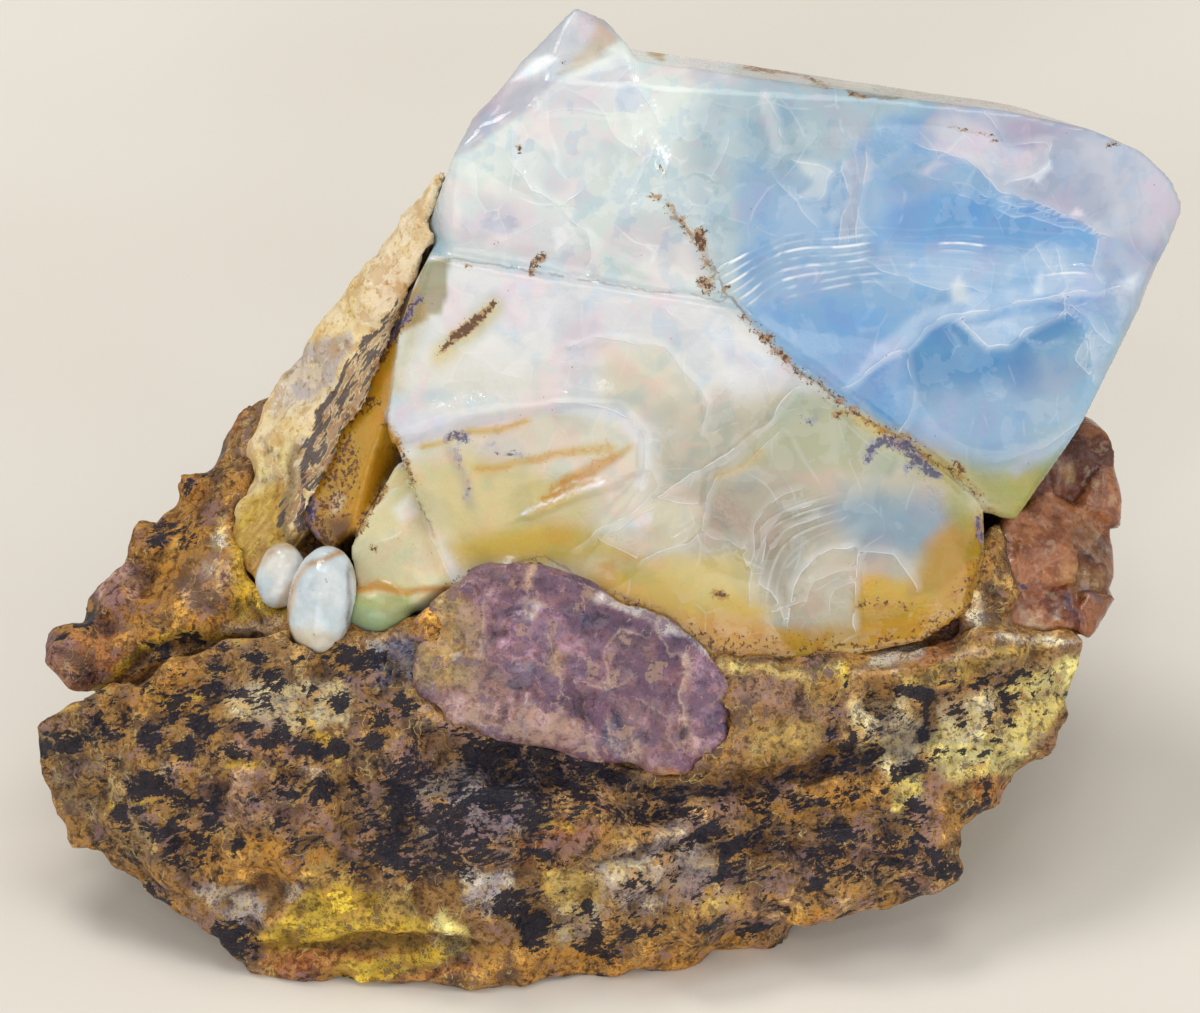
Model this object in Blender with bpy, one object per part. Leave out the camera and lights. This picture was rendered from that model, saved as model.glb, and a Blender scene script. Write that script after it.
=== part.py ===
"""Rough opal specimen: a broken block of milky blue opal still seated in its weathered host rock.

The frame: +X right, +Y away from the display side, +Z up. The shapes are laid out in millimetres on the
surface that the specimen rests on, and stand_on_origin() then puts the middle of the whole over the
origin. MM turns millimetres into metres.
"""

import bmesh
import bpy
import numpy as np
from mathutils import Matrix, Vector

MM = 0.001

# Driving dimensions, in millimetres
SEAT_GAP = 0.42         # clearance that a seat's cutter adds along the seated piece's vertex normals
OPAL_VOXEL = 0.6        # grain at which the opal's lumps are fused
ROCK_VOXEL = 0.85       # grain at which the host rock's lumps are fused
CRUST_VOXEL = 0.7
BEAD_VOXEL = 0.45
FOOT_SPAN = 200.0       # width of the slab that planes the rock's foot flat
FOOT_DEPTH = 12.0
FACING_SHARE = 0.2      # a dish bites only where the surface faces its way at least this much
SHARP_EDGE = 28.0       # degrees; glassy breaks meeting more steeply than this keep a crisp edge

# Triangles kept on each piece before its seats are cut
OPAL_FACES = 1900
ROCK_FACES = 4200
BROWN_FACES = 330
CRUST_FACES = 560
PURPLE_FACES = 500
FRONT_BEAD_FACES = 180
REAR_BEAD_FACES = 120

# ---------------------------------------------------------------- opal
HONEY_LOBE = [
    (-14.4, 6.3, 51.8), (0.3, 5.2, 49.6), (7.0, 4.2, 49.2), (10.6, 3.6, 48.6), (15.5, 1.0, 44.6),
    (21.8, -1.8, 40.8), (29.4, -4.4, 37.0), (32.6, -5.8, 34.4), (32.8, -7.6, 30.0), (31.6, -10.2, 26.8),
    (27.5, -12.2, 24.8), (20, -13.2, 23.6), (11.9, -13.2, 23.0), (3.6, -12.4, 24.0), (-5.1, -10.2, 26.0),
    (-12.5, -9.2, 27.8), (-13.7, -7.8, 30.2), (-17.0, -2.8, 37.6), (-18.1, -1.0, 40.0), (-17.1, 3.4, 46.2),
    (-15.6, 6.0, 49.4),
    (-13, 20, 47), (10, 20, 44), (28, 10, 32), (28, 6, 22), (0, 12, 15), (-14, 10, 22), (8, -6, 18),
]
LEFT_BLOCK = [
    (-12.7, -8.6, 28.6), (-16.1, -10.4, 27.2), (-20.6, -8.0, 26.8), (-21.3, -5.4, 29.4), (-20.0, -3.4, 31.4),
    (-17.2, -0.4, 35.2), (-15.0, -0.4, 36.0), (-19.6, 4, 24), (-10, 4, 22), (-12, -6, 21),
]
STAINED_FLANK = [
    (-15.2, 8.0, 48.0), (-17.2, 6.8, 44.8), (-18.2, 5.6, 40.6), (-17.9, 3.8, 36.9), (-19.2, 0.2, 32.8),
    (-21.0, -3.4, 30.2), (-23.2, -4.0, 28.0), (-26.0, -0.4, 29.2), (-25.8, 1.6, 32.2), (-24.9, 3.6, 33.9),
    (-23.2, 6.4, 37.0), (-20.6, 7.8, 41.4), (-17.6, 9.8, 45.0), (-13, 14, 42), (-12, 12, 26), (-21, 9, 22),
]
BLUE_BLOCK = [
    (-12.3, 10.6, 59.4), (-9.3, 12.6, 60.8), (-4.7, 15.2, 63.6), (3.4, 18.2, 63.7), (12.4, 17.2, 62.8),
    (25.0, 16.0, 61.3), (35.3, 15.6, 60.1), (41.5, 15.2, 58.8),
    (46.3, 14.6, 56.7), (48.9, 13.8, 54.4), (49.9, 13.0, 52.4), (49.0, 10.8, 50.4), (45.9, 6.2, 48.0),
    (40.8, -1.0, 39), (35.3, -4.8, 32), (33, -4.4, 32.4), (29.4, -2.8, 37.0), (10.6, 5.0, 48.6),
    (-12.8, 7.8, 51.1), (-13.6, 9.6, 54.6), (-15, 12, 50),
    (1.0, 24, 61.4), (12.5, 24.5, 58.8), (25.3, 23.4, 57.4), (35.6, 21.4, 57.0), (43.6, 19.0, 55.2),
    (-8, 22, 59), (-4, 29, 54), (10, 30, 50), (26, 27, 46), (42, 22.5, 42), (45.6, 17, 44),
    (-14, 23, 44), (-8, 27, 36), (40, 12, 32), (38, 16, 28), (20, 22, 28),
]
HORN = [
    (-12.3, 10.7, 59.5), (-10.4, 15.0, 61.0), (-6.8, 17.9, 63.9), (-2.1, 21.8, 66.9), (0.4, 21.9, 65.6),
    (2.4, 19.6, 64.5), (3.0, 18.3, 63.8), (-4.7, 15.1, 63.7), (-9.3, 12.4, 60.9),
    (-6, 24, 57), (3, 24, 59), (-9, 19, 57),
]
GREEN_FOOT = ((-18.9, -9.4, 26.2), (2.9, 2.4, 2.2), (0, 0, -18))
# Shell-shaped breaks: middle of the dish, the way it faces, half-widths across and up, height (minus is in)
OPAL_DISHES = [
    ((-7.0, -4.2, 33.4), (-0.05, -0.84, 0.54), (13.5, 8.5), -1.25),
    ((-2.6, 13.4, 58.6), (-0.20, -0.76, 0.62), (9.0, 7.5), -0.55),
    ((24.0, 8.2, 53.4), (0.02, -0.74, 0.67), (19.0, 9.0), -0.75),
    ((36.0, 2.6, 45.0), (0.10, -0.74, 0.66), (10.0, 9.0), -0.60),
    ((22.4, -9.2, 28.6), (0.10, -0.85, 0.51), (8.5, 8.0), -0.90),
    ((14.0, -5.4, 35.0), (0.10, -0.80, 0.60), (9.0, 7.0), -0.45),
    ((17.0, 29.6, 50.0), (0.10, 0.98, 0.20), (15.0, 8.0), -1.60),
    ((-6.0, 28.4, 47.0), (-0.30, 0.94, 0.15), (9.0, 10.0), -1.40),
    ((46.6, 12.6, 46.6), (0.95, -0.20, 0.20), (6.0, 5.0), -0.60),
    ((-8.6, 16.6, 61.6), (-0.62, -0.46, 0.63), (4.5, 3.0), -0.45),
    ((-18.6, 9.6, 38.0), (-0.70, -0.55, 0.46), (5.5, 7.5), -0.80),
]
# Low ridges and splits on the opal: a line of points, half-width, height
OPAL_LINES = [
    ([(15.0, 0.6, 43.6), (12.8, -1.6, 40.2), (8.0, -4.8, 36.4), (7.8, -7.2, 32.6)], 1.8, 0.30),
    ([(-12.6, 7.4, 51.4), (0.3, 6.2, 49.4), (10.6, 4.6, 48.6), (18.7, 0.6, 42.6),
      (29.4, -3.2, 37.0)], 0.9, -0.45),
    ([(-13.4, -7.8, 29.0), (-15.8, -3.6, 33.0), (-17.6, 1.4, 37.0)], 0.9, -0.45),
]

# ---------------------------------------------------------------- host rock
BASE_BLOCK = [
    (-30, -26.5, -1), (-17, -28.6, -1), (-3, -27.6, -1), (14, -22, -1), (22, -6, -1), (20, 16, -1),
    (-4, 24, -1), (-24, 16, -1), (-31, -4, -1),
    (-34, -22, 8), (-10, -26.6, 14), (12, -25.6, 8), (30, -17, 17), (-24, -15, 24), (2, -15, 22),
    (33, 10, 18), (6, 28, 16), (-24, 20, 18), (-34, 4, 16),
]
LEFT_WEDGE = [
    (-50.6, -14.2, 16.0), (-47.0, -15, 18.5), (-42.4, -15, 21.6), (-29.8, -12, 25.6), (-22.8, -13.5, 25),
    (-48.6, -15, 12.5), (-43.2, -18.3, 7), (-40.2, -20.9, 4.8), (-33.3, -25.4, 2.6), (-20, -26.6, 6),
    (-24, -23.6, 18), (-38, -20.2, 17), (-30, -4, 8), (-43, -9, 10), (-20, -6, 22),
]
BACK_LEFT_SLAB = [
    (-45.6, -4.4, 17.8), (-45.0, -0.4, 17.8), (-42.8, 2.8, 20.0), (-39.2, 6.0, 22.9), (-34.0, 10.8, 26.9),
    (-27.3, 16.2, 32.4), (-22.4, 17.0, 35.0), (-44, -8.5, 16), (-36, -8, 20), (-28, -6, 23),
    (-25, 2, 29), (-22, 8, 34), (-40, -4, 10), (-34, 12, 12), (-22, 22, 22), (-18, 6, 16), (-17, 20, 34),
]
BACK_SHELL = [
    (-22, 20, 32), (-16, 24, 38), (-4, 29, 41), (8, 30.5, 37), (18, 28, 38), (32, 20, 31), (40, 12, 25),
    (-24, 22, 10), (6, 29, 6), (28, 18, 10), (37, 6, 14),
    (-16, 10, 20), (10, 8, 18), (30, 2, 18), (-10, 28, 20),
]
RIGHT_WING = [
    (41.6, -10, 23.4), (40.4, -11.5, 18), (36, -14, 14.5), (34.0, -16, 13), (30.0, -21.5, 9.5),
    (25.4, -23.5, 4.4), (15.3, -25.8, 3.8), (10, -15.6, 22.6), (20, -15.0, 23.6), (30, -13.4, 24.6),
    (33, -11.6, 25.4), (41, -6, 23), (8, -20, 6), (24, -2, 8), (40, 2, 20), (36, 4, 12), (12, -8, 20),
    (28, -20, 15),
]
FRONT_SHELF = [
    (-6, -27.2, 3), (8, -27.8, 4.6), (22, -24.8, 7.6), (30, -22.3, 10.6), (20, -22.8, 14.2), (4, -24.8, 12.8),
    (-8, -25.3, 11), (0, -18, 6), (20, -16, 9),
]
FRONT_LEDGE = [
    (0, -22.4, 16.2), (12, -22.2, 16.6), (26, -18.6, 17.6), (35, -15.4, 20.0), (20, -16.6, 21.6),
    (6, -18, 20), (10, -12, 15), (30, -10, 18),
]
TOE_LAYER_LOW = [
    (-30, -26.6, 0.4), (-20, -29.0, 0.6), (-8, -29.2, 1.0), (-1, -27.2, 1.2), (-10, -28.4, 3.0),
    (-24, -27.6, 2.8), (-20, -20, 0), (-4, -20, 1),
]
TOE_LAYER_HIGH = [
    (-33.4, -24.4, 4.6), (-26, -26.6, 4.4), (-15, -28.6, 4.8), (-10, -28.4, 7.0), (-18, -26.8, 8.6),
    (-30, -24.0, 7.6), (-20, -20, 4), (-8, -22, 6),
]
NEST = [
    (-30, -9, 24.0), (-24, -13.0, 24.2), (-16, -14.0, 25.0), (-12.5, -11.5, 26.8), (-21, -3.0, 26.6),
    (-28, -2, 26.4), (-24, -6, 14), (-12, -8, 16),
]
FRONT_SHOULDER = [
    (9, -14.2, 24.6), (18, -14.6, 24.4), (25, -14.2, 24.4), (10, -18.6, 20.8), (18, -18.4, 20.2),
    (27, -17.0, 20.0), (12, -20.4, 18.4), (21, -19.2, 18.2), (10, -8, 18), (26, -8, 18),
]
BACK_RIDGE = [
    (-23, 10, 30), (-20.5, 16, 37), (-15, 22, 41), (-7, 27.5, 42), (0, 29.5, 40), (-10, 12, 30),
    (-19, 24, 28), (-25, 15, 26), (-6, 30, 28),
]
ROCK_LUMPS = [
    BASE_BLOCK, LEFT_WEDGE, BACK_LEFT_SLAB, BACK_SHELL, RIGHT_WING, FRONT_SHELF, FRONT_LEDGE,
    TOE_LAYER_LOW, TOE_LAYER_HIGH, NEST, FRONT_SHOULDER, BACK_RIDGE,
]
# Rounded lumps that break the rock's outline: middle, half-widths, tilt in degrees
ROCK_BALLS = [
    ((-45.4, -5.4, 18.0), (3.3, 3.1, 3.1), (0, 20, 0)), ((-41.2, 0.4, 19.4), (2.7, 2.7, 2.7), (0, 0, 0)),
    ((-38.6, 4.6, 22.8), (2.2, 2.2, 2.2), (0, 0, 0)), ((-34.8, 8.2, 26.0), (2.2, 2.4, 2.0), (0, 0, 0)),
    ((-29.8, 13.0, 30.0), (2.5, 2.4, 2.2), (0, 0, 0)), ((33.0, -15.4, 13.0), (2.1, 2.2, 2.0), (0, 0, 0)),
    ((28.4, -21.0, 7.6), (2.9, 2.8, 2.7), (0, 0, 0)), ((-30.6, -24.4, 2.6), (2.6, 2.4, 2.4), (0, 0, 0)),
    ((-37.6, -21.2, 5.4), (1.8, 2.0, 1.8), (0, 0, 0)), ((-43.6, -17.2, 8.8), (1.8, 2.0, 2.2), (0, 0, 0)),
    ((8.0, -25.6, 7.0), (3.2, 2.4, 2.2), (0, 0, 10)), ((18.4, -24.0, 5.8), (3.4, 2.2, 2.2), (0, 0, 20)),
    ((12.0, 29.0, 24.0), (5.0, 3.2, 4.6), (0, 20, 0)), ((-14.0, 26.4, 26.0), (5.6, 3.4, 4.0), (0, -15, 0)),
    ((28.0, 20.4, 20.0), (5.0, 4.2, 4.4), (0, 10, 30)),
]
# Knobs (plus) and pits (minus) on the rock: middle, radius, height
ROCK_KNOBS = [
    ((-32.5, -24.7, 6.3), 3.0, 1.1), ((-28.8, -22.0, 18.5), 2.6, 0.9), ((-30.0, -23.5, 13.9), 2.6, 0.9),
    ((-25.8, -24.1, 14.8), 2.4, 0.8), ((-36.7, -13.7, 22.8), 3.4, 0.9), ((-21.6, -26.2, 6.6), 3.2, 0.8),
    ((-41.9, -1.5, 22.1), 3.0, 0.9), ((-38.9, 2.0, 23.9), 2.8, 0.9), ((-35.1, -4.6, 22.5), 3.0, 1.0),
    ((-30.9, -1.8, 25.6), 2.8, 1.0), ((-32.9, 8.2, 27.8), 2.8, 1.0), ((-38.7, -4.9, 21.5), 2.6, 0.8),
    ((-9.2, -26.4, 13.8), 3.0, 1.0), ((-9.6, -27.2, 9.9), 2.8, 0.8), ((-12.6, -27.8, 5.4), 1.9, 1.1),
    ((-3.6, -26.7, 10.4), 2.8, 1.0), ((1.7, -26.3, 11.0), 2.6, 0.9), ((5.9, -24.3, 13.8), 2.6, 0.8),
    ((36.1, -15.3, 16.5), 2.6, 0.8), ((38.5, -13.4, 18.5), 2.4, 0.8), ((25.9, -17.5, 18.8), 3.2, 0.8),
    ((-6.4, -27.7, 6.7), 2.8, -1.1), ((8.4, -24.0, 13.6), 1.8, -0.9), ((11.6, -24.1, 12.8), 2.0, -0.9),
    ((-0.8, -26.6, 7.7), 1.8, -0.8), ((-8.4, -23.3, 16.5), 3.0, -0.9), ((-16.9, -24.4, 14.1), 2.8, -0.9),
    ((-37.6, -20.3, 16.1), 2.4, -1.0), ((-35.5, -23.2, 11.1), 3.0, -1.3), ((-44.8, -16.6, 17.1), 2.2, -0.8),
    ((-26.1, -22.7, 17.7), 2.0, -0.8), ((-24.2, -20.9, 20.6), 2.2, -0.9), ((-38.6, -22.0, 7.8), 1.8, -0.8),
]
# Grooves (minus) and flow ridges (plus) along the rock: a line of points, half-width, height
ROCK_LINES = [
    ([(-14.4, -20.6, 19.0), (-8.5, -20.4, 18.6), (-1.7, -21.9, 17.2), (3.4, -23.0, 15.8), (10.2, -23.0, 15.8),
      (16.9, -21.2, 16.8), (23.8, -19.6, 17.6), (30.6, -16.6, 20.2)], 2.6, -2.0),
    ([(-5.1, -27.2, 10.9), (1.7, -25.7, 12.2), (7.6, -25.0, 12.4), (13.5, -23.9, 13.2), (19.5, -22.1, 13.9),
      (25.5, -20.1, 15.0), (32.3, -17.0, 17.4)], 1.4, -1.3),
    ([(21.3, -13.0, 22.6), (20.4, -16.4, 21.4), (20.8, -18.1, 19.4)], 1.2, -1.1),
    ([(-31.0, -25.8, 3.8), (-24.0, -27.4, 3.8), (-18.9, -28.2, 3.6), (-12.3, -28.6, 3.8)], 1.1, -1.3),
    ([(13.5, -22.9, 11.4), (19.3, -23.9, 9.9), (25.1, -22.4, 9.4)], 1.4, -1.1),
    ([(-4.6, -26.1, 14.5), (1.7, -24.4, 14.7), (7.4, -23.1, 15.0), (14.0, -22.6, 15.0)], 1.6, 0.8),
    ([(31.0, -12.6, 25.0), (36.0, -11.8, 24.2), (41.6, -10.6, 23.6)], 1.0, 0.7),
    ([(-47.0, -15.0, 18.8), (-42.4, -15.0, 21.8), (-36.0, -14.0, 23.8), (-29.8, -12.6, 25.8),
      (-24.0, -13.4, 25.6)], 1.4, 0.8),
    ([(-44.0, -11.0, 19.6), (-36.0, -10.4, 21.0), (-28.0, -8.6, 23.6)], 2.2, -1.6),
]

# ---------------------------------------------------------------- the other minerals
BROWN_CHUNK = [
    (41.8, 7.0, 33.4), (44.1, 6.2, 32.8), (44.9, 2.0, 29.0), (44.5, -2.6, 26.0), (43.2, -6.6, 24.4),
    (41.6, -9.8, 23.8), (33.0, -9.8, 24.8), (33.6, -6.4, 29.0), (36, 0, 32),
    (40, 14, 30), (32, 10, 20), (42, 6, 18), (36, -4, 17),
]
BROWN_DISHES = [
    ((41.0, 0.4, 29.6), (0.30, -0.72, 0.62), (4.0, 5.0), -0.9),
    ((38.0, -6.4, 26.6), (-0.10, -0.85, 0.50), (3.8, 3.0), -0.7),
    ((44.4, 0.2, 26.4), (0.90, -0.30, 0.30), (4.0, 4.0), -0.8),
]
PURPLE_PATCH = [
    (-14.8, -11.4, 28.0), (-10.1, -9.2, 31.0), (-5.1, -9.0, 31.6), (0.0, -10.6, 29.1), (4.6, -11.6, 27.5),
    (8.5, -13.2, 25.5), (11.4, -16.2, 22.7), (10.8, -19.8, 18.3), (6.8, -21.4, 17.0), (1.7, -21.2, 18.8),
    (-3.4, -19.8, 21.2), (-12.7, -18.8, 20.6), (-15.6, -17.0, 22.2), (-16.2, -14.4, 25.4),
    (-8, -4, 22), (6, -8, 18),
]
PURPLE_LINES = [
    ([(3.6, -14.8, 26.4), (1.0, -18.2, 22.8), (3.2, -21.0, 18.4)], 0.9, -0.6),
    ([(8.2, -16.8, 22.8), (7.0, -18.8, 20.2), (8.6, -20.6, 17.4)], 0.8, -0.6),
    ([(-8.0, -12.8, 28.0), (-9.4, -16.6, 24.2), (-8.2, -18.8, 21.4)], 0.9, -0.5),
]
CREAM_CRUST = [
    (-12.8, 13.4, 57.0), (-14.6, 15.6, 51.8), (-18.4, 16.8, 45.4), (-20.2, 16.4, 41.0), (-22.6, 14.6, 36.6),
    (-28.6, 10.0, 34.2), (-30.8, 4.0, 28.6), (-31.4, -1.0, 25.4), (-28.8, -4.8, 24.2), (-26.8, -3.6, 25.6),
    (-12.0, 10.4, 54.0), (-15.6, 8.8, 48.0), (-18.4, 9.6, 43.4), (-21.0, 8.6, 39.4), (-23.8, 7.2, 35.0),
    (-26.0, 3.8, 31.0), (-26.2, 1.4, 28.4),
    (-22, 16, 26), (-28, 6, 18), (-13, 19.5, 46), (-16, 20, 40), (-19, 19.5, 34), (-11, 14, 55),
]
CRUST_KNOBS = [
    ((-29.6, 6.6, 32.0), 2.8, 1.0), ((-27.4, 4.0, 30.6), 2.2, 0.8), ((-29.6, 1.2, 27.6), 2.4, 0.9),
    ((-26.2, 9.4, 35.0), 2.4, 0.7), ((-27.0, -1.4, 27.4), 1.8, -0.8), ((-19.6, 12.6, 42.6), 2.4, 0.5),
]
FRONT_BEAD = ((-23.6, -9.9, 27.4), (2.7, 2.6, 4.7), (-38, 12, 0))
REAR_BEAD = ((-27.3, -5.9, 27.0), (1.9, 1.8, 2.7), (-35, 14, 0))

# name: colour, roughness
FINISHES = {
    "host_rock": ((0.36, 0.22, 0.11), 0.85),
    "blue_opal": ((0.66, 0.72, 0.76), 0.18),
    "brown_opal": ((0.40, 0.17, 0.09), 0.30),
    "purple_chalcedony": ((0.27, 0.17, 0.22), 0.55),
    "cream_crust": ((0.80, 0.62, 0.38), 0.75),
    "opal_bead": ((0.74, 0.82, 0.86), 0.15),
}


def clear_scene():
    for obj in list(bpy.data.objects):
        bpy.data.objects.remove(obj)


def finish(name):
    material = bpy.data.materials.new(name)
    material.use_nodes = True
    shader = material.node_tree.nodes["Principled BSDF"]
    colour, roughness = FINISHES[name]
    shader.inputs["Base Color"].default_value = (*colour, 1.0)
    shader.inputs["Roughness"].default_value = roughness
    shader.inputs["Metallic"].default_value = 0.0
    return material


def add_hull(mesh, points):
    """Adds the convex hull of points to a bmesh."""
    corners = [mesh.verts.new(Vector(p) * MM) for p in points]
    made = bmesh.ops.convex_hull(mesh, input=corners)
    spare = [v for v in made["geom_interior"] + made["geom_unused"] if isinstance(v, bmesh.types.BMVert)]
    bmesh.ops.delete(mesh, geom=list(set(spare)), context="VERTS")


def add_ball(mesh, centre, halves, tilt):
    """Adds an egg-shaped lump with the given half-widths, turned by tilt degrees about X, Y and Z."""
    turn = Matrix.Identity(4)
    for degrees, axis in zip(tilt, "XYZ"):
        turn = Matrix.Rotation(np.radians(degrees), 4, axis) @ turn
    place = Matrix.Translation(Vector(centre) * MM) @ turn @ Matrix.Diagonal((*(Vector(halves) * MM), 1.0))
    bmesh.ops.create_icosphere(mesh, subdivisions=3, radius=1.0, matrix=place)


def new_object(name, mesh):
    data = bpy.data.meshes.new(name)
    bmesh.ops.recalc_face_normals(mesh, faces=mesh.faces)
    mesh.to_mesh(data)
    mesh.free()
    obj = bpy.data.objects.new(name, data)
    bpy.context.scene.collection.objects.link(obj)
    return obj


def lumps_object(name, hulls, balls=()):
    """One object made of overlapping lumps, which fuse() then makes one skin."""
    mesh = bmesh.new()
    for points in hulls:
        add_hull(mesh, points)
    for ball in balls:
        add_ball(mesh, *ball)
    return new_object(name, mesh)


def apply_modifiers(obj):
    graph = bpy.context.evaluated_depsgraph_get()
    made = bpy.data.meshes.new_from_object(obj.evaluated_get(graph), depsgraph=graph)
    obj.modifiers.clear()
    obj.data = made


def fuse(obj, voxel):
    remesh = obj.modifiers.new("fuse", "REMESH")
    remesh.mode = "VOXEL"
    remesh.voxel_size = voxel * MM
    apply_modifiers(obj)


def roughen(obj, kind, grain, height):
    """Pushes the surface in and out by a noise of the given grain and height."""
    texture = bpy.data.textures.new(f"{obj.name}_{kind.lower()}_{grain}", kind)
    texture.noise_scale = grain * MM
    displace = obj.modifiers.new(f"roughen_{grain}", "DISPLACE")
    displace.texture = texture
    displace.texture_coords = "LOCAL"
    displace.strength = height * MM
    displace.mid_level = 0.5
    apply_modifiers(obj)


def vertex_arrays(obj):
    """The vertices and their normals, in millimetres."""
    count = len(obj.data.vertices)
    points, normals = np.empty(3 * count), np.empty(3 * count)
    obj.data.vertices.foreach_get("co", points)
    obj.data.vertices.foreach_get("normal", normals)
    return points.reshape(-1, 3) / MM, normals.reshape(-1, 3)


def move_vertices(obj, points):
    obj.data.vertices.foreach_set("co", (points * MM).ravel())
    obj.data.update()


def bell(reach):
    """1 in the middle of a feature, easing to 0 at its edge (reach 1)."""
    return np.clip(1.0 - reach ** 2, 0.0, 1.0) ** 1.5


def carve_knobs(obj, knobs):
    """Raises or sinks round spots along the surface normal."""
    points, normals = vertex_arrays(obj)
    for centre, radius, height in knobs:
        reach = np.linalg.norm(points - np.array(centre), axis=1) / radius
        points += normals * (height * bell(reach))[:, None]
    move_vertices(obj, points)


def carve_lines(obj, lines):
    """Raises or sinks a band along a line of points."""
    points, normals = vertex_arrays(obj)
    for line, half_width, height in lines:
        nearest = np.full(len(points), np.inf)
        for start, end in zip(line, line[1:]):
            start, along = np.array(start), np.array(end) - np.array(start)
            share = np.clip((points - start) @ along / (along @ along), 0.0, 1.0)
            off = np.linalg.norm(points - start - share[:, None] * along, axis=1)
            nearest = np.minimum(nearest, off)
        points += normals * (height * bell(nearest / half_width))[:, None]
    move_vertices(obj, points)


def carve_dishes(obj, dishes):
    """Sinks shell-shaped breaks: a shallow bowl with a crisp rim, square to the way it faces."""
    points, normals = vertex_arrays(obj)
    for centre, facing, (across, up), height in dishes:
        out = np.array(Vector(facing).normalized())
        side = np.cross((0.0, 0.0, 1.0), out)
        side /= np.linalg.norm(side)
        off = points - np.array(centre)
        reach = np.hypot(off @ side / across, off @ np.cross(out, side) / up)
        bowl = np.clip(1.0 - reach ** 2, 0.0, 1.0)
        near = (np.abs(off @ out) < min(across, up)) & (normals @ out > FACING_SHARE)
        points += out * (height * bowl * near)[:, None]
    move_vertices(obj, points)


def thin(obj, faces):
    """Keeps about the given number of triangles, fewer on flat ground and more where it bends."""
    decimate = obj.modifiers.new("thin", "DECIMATE")
    decimate.ratio = min(1.0, faces / (2 * len(obj.data.polygons)))
    decimate.use_collapse_triangulate = True
    apply_modifiers(obj)


def shade_glassy(obj):
    """Smooth shading with the sharp breaks kept."""
    obj.data.shade_smooth()
    obj.data.set_sharp_from_angle(angle=np.radians(SHARP_EDGE))


def cutter(obj):
    obj.hide_render = True
    obj.display_type = "WIRE"
    return obj


def cut(obj, tool):
    boolean = obj.modifiers.new("cut_" + tool.name, "BOOLEAN")
    boolean.operation = "DIFFERENCE"
    boolean.solver = "EXACT"
    boolean.object = tool
    boolean.use_self = True


def seat_cutter(obj):
    """A cutter of obj's shape, larger all round by the seat's clearance."""
    tool = bpy.data.objects.new(obj.name + "_seat", obj.data.copy())
    bpy.context.scene.collection.objects.link(tool)
    swell = tool.modifiers.new("swell", "DISPLACE")
    swell.strength = SEAT_GAP * MM
    swell.mid_level = 0.0
    return cutter(tool)


def foot_cutter():
    """A slab whose top is the rest plane."""
    mesh = bmesh.new()
    size = Matrix.Diagonal((FOOT_SPAN * MM, FOOT_SPAN * MM, FOOT_DEPTH * MM, 1.0))
    place = Matrix.Translation((0.0, 0.0, -FOOT_DEPTH * MM / 2))
    bmesh.ops.create_cube(mesh, size=1.0, matrix=place @ size)
    return cutter(new_object("foot_cutter", mesh))


def islands(mesh):
    """The separate skins of a bmesh, smallest first."""
    unseen, found = set(mesh.verts), []
    while unseen:
        island, front = set(), [unseen.pop()]
        while front:
            vert = front.pop()
            island.add(vert)
            fresh = {edge.other_vert(vert) for edge in vert.link_edges} & unseen
            unseen -= fresh
            front.extend(fresh)
        found.append(island)
    return sorted(found, key=len)


def drop_crumbs(obj):
    """Applies the cuts and drops the loose crumbs that they leave."""
    apply_modifiers(obj)
    mesh = bmesh.new()
    mesh.from_mesh(obj.data)
    crumbs = [vert for island in islands(mesh)[:-1] for vert in island]
    bmesh.ops.delete(mesh, geom=crumbs, context="VERTS")
    mesh.to_mesh(obj.data)
    mesh.free()


def build_opal():
    opal = lumps_object("opal", [HONEY_LOBE, LEFT_BLOCK, STAINED_FLANK, BLUE_BLOCK, HORN], [GREEN_FOOT])
    fuse(opal, OPAL_VOXEL)
    carve_dishes(opal, OPAL_DISHES)
    carve_lines(opal, OPAL_LINES)
    thin(opal, OPAL_FACES)
    opal.data.materials.append(finish("blue_opal"))
    shade_glassy(opal)
    return opal


def build_brown_opal():
    brown = lumps_object("brown_opal", [BROWN_CHUNK])
    fuse(brown, CRUST_VOXEL)
    carve_dishes(brown, BROWN_DISHES)
    thin(brown, BROWN_FACES)
    brown.data.materials.append(finish("brown_opal"))
    shade_glassy(brown)
    return brown


def build_purple_chalcedony():
    purple = lumps_object("purple_chalcedony", [PURPLE_PATCH])
    fuse(purple, CRUST_VOXEL)
    roughen(purple, "CLOUDS", 3.5, 1.3)
    carve_lines(purple, PURPLE_LINES)
    thin(purple, PURPLE_FACES)
    purple.data.materials.append(finish("purple_chalcedony"))
    return purple


def build_cream_crust():
    crust = lumps_object("cream_crust", [CREAM_CRUST])
    fuse(crust, CRUST_VOXEL)
    roughen(crust, "CLOUDS", 4.0, 1.3)
    carve_knobs(crust, CRUST_KNOBS)
    thin(crust, CRUST_FACES)
    crust.data.materials.append(finish("cream_crust"))
    return crust


def build_bead(name, ball, faces, material):
    bead = lumps_object(name, [], [ball])
    fuse(bead, BEAD_VOXEL)
    roughen(bead, "CLOUDS", 3.0, 0.5)
    thin(bead, faces)
    bead.data.materials.append(material)
    shade_glassy(bead)
    return bead


def build_host_rock():
    rock = lumps_object("host_rock", ROCK_LUMPS, ROCK_BALLS)
    fuse(rock, ROCK_VOXEL)
    roughen(rock, "CLOUDS", 9.0, 2.2)
    carve_knobs(rock, ROCK_KNOBS)
    carve_lines(rock, ROCK_LINES)
    roughen(rock, "VORONOI", 3.6, 1.5)
    roughen(rock, "CLOUDS", 2.4, 1.0)
    fuse(rock, ROCK_VOXEL)
    thin(rock, ROCK_FACES)
    rock.data.materials.append(finish("host_rock"))
    return rock


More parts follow.
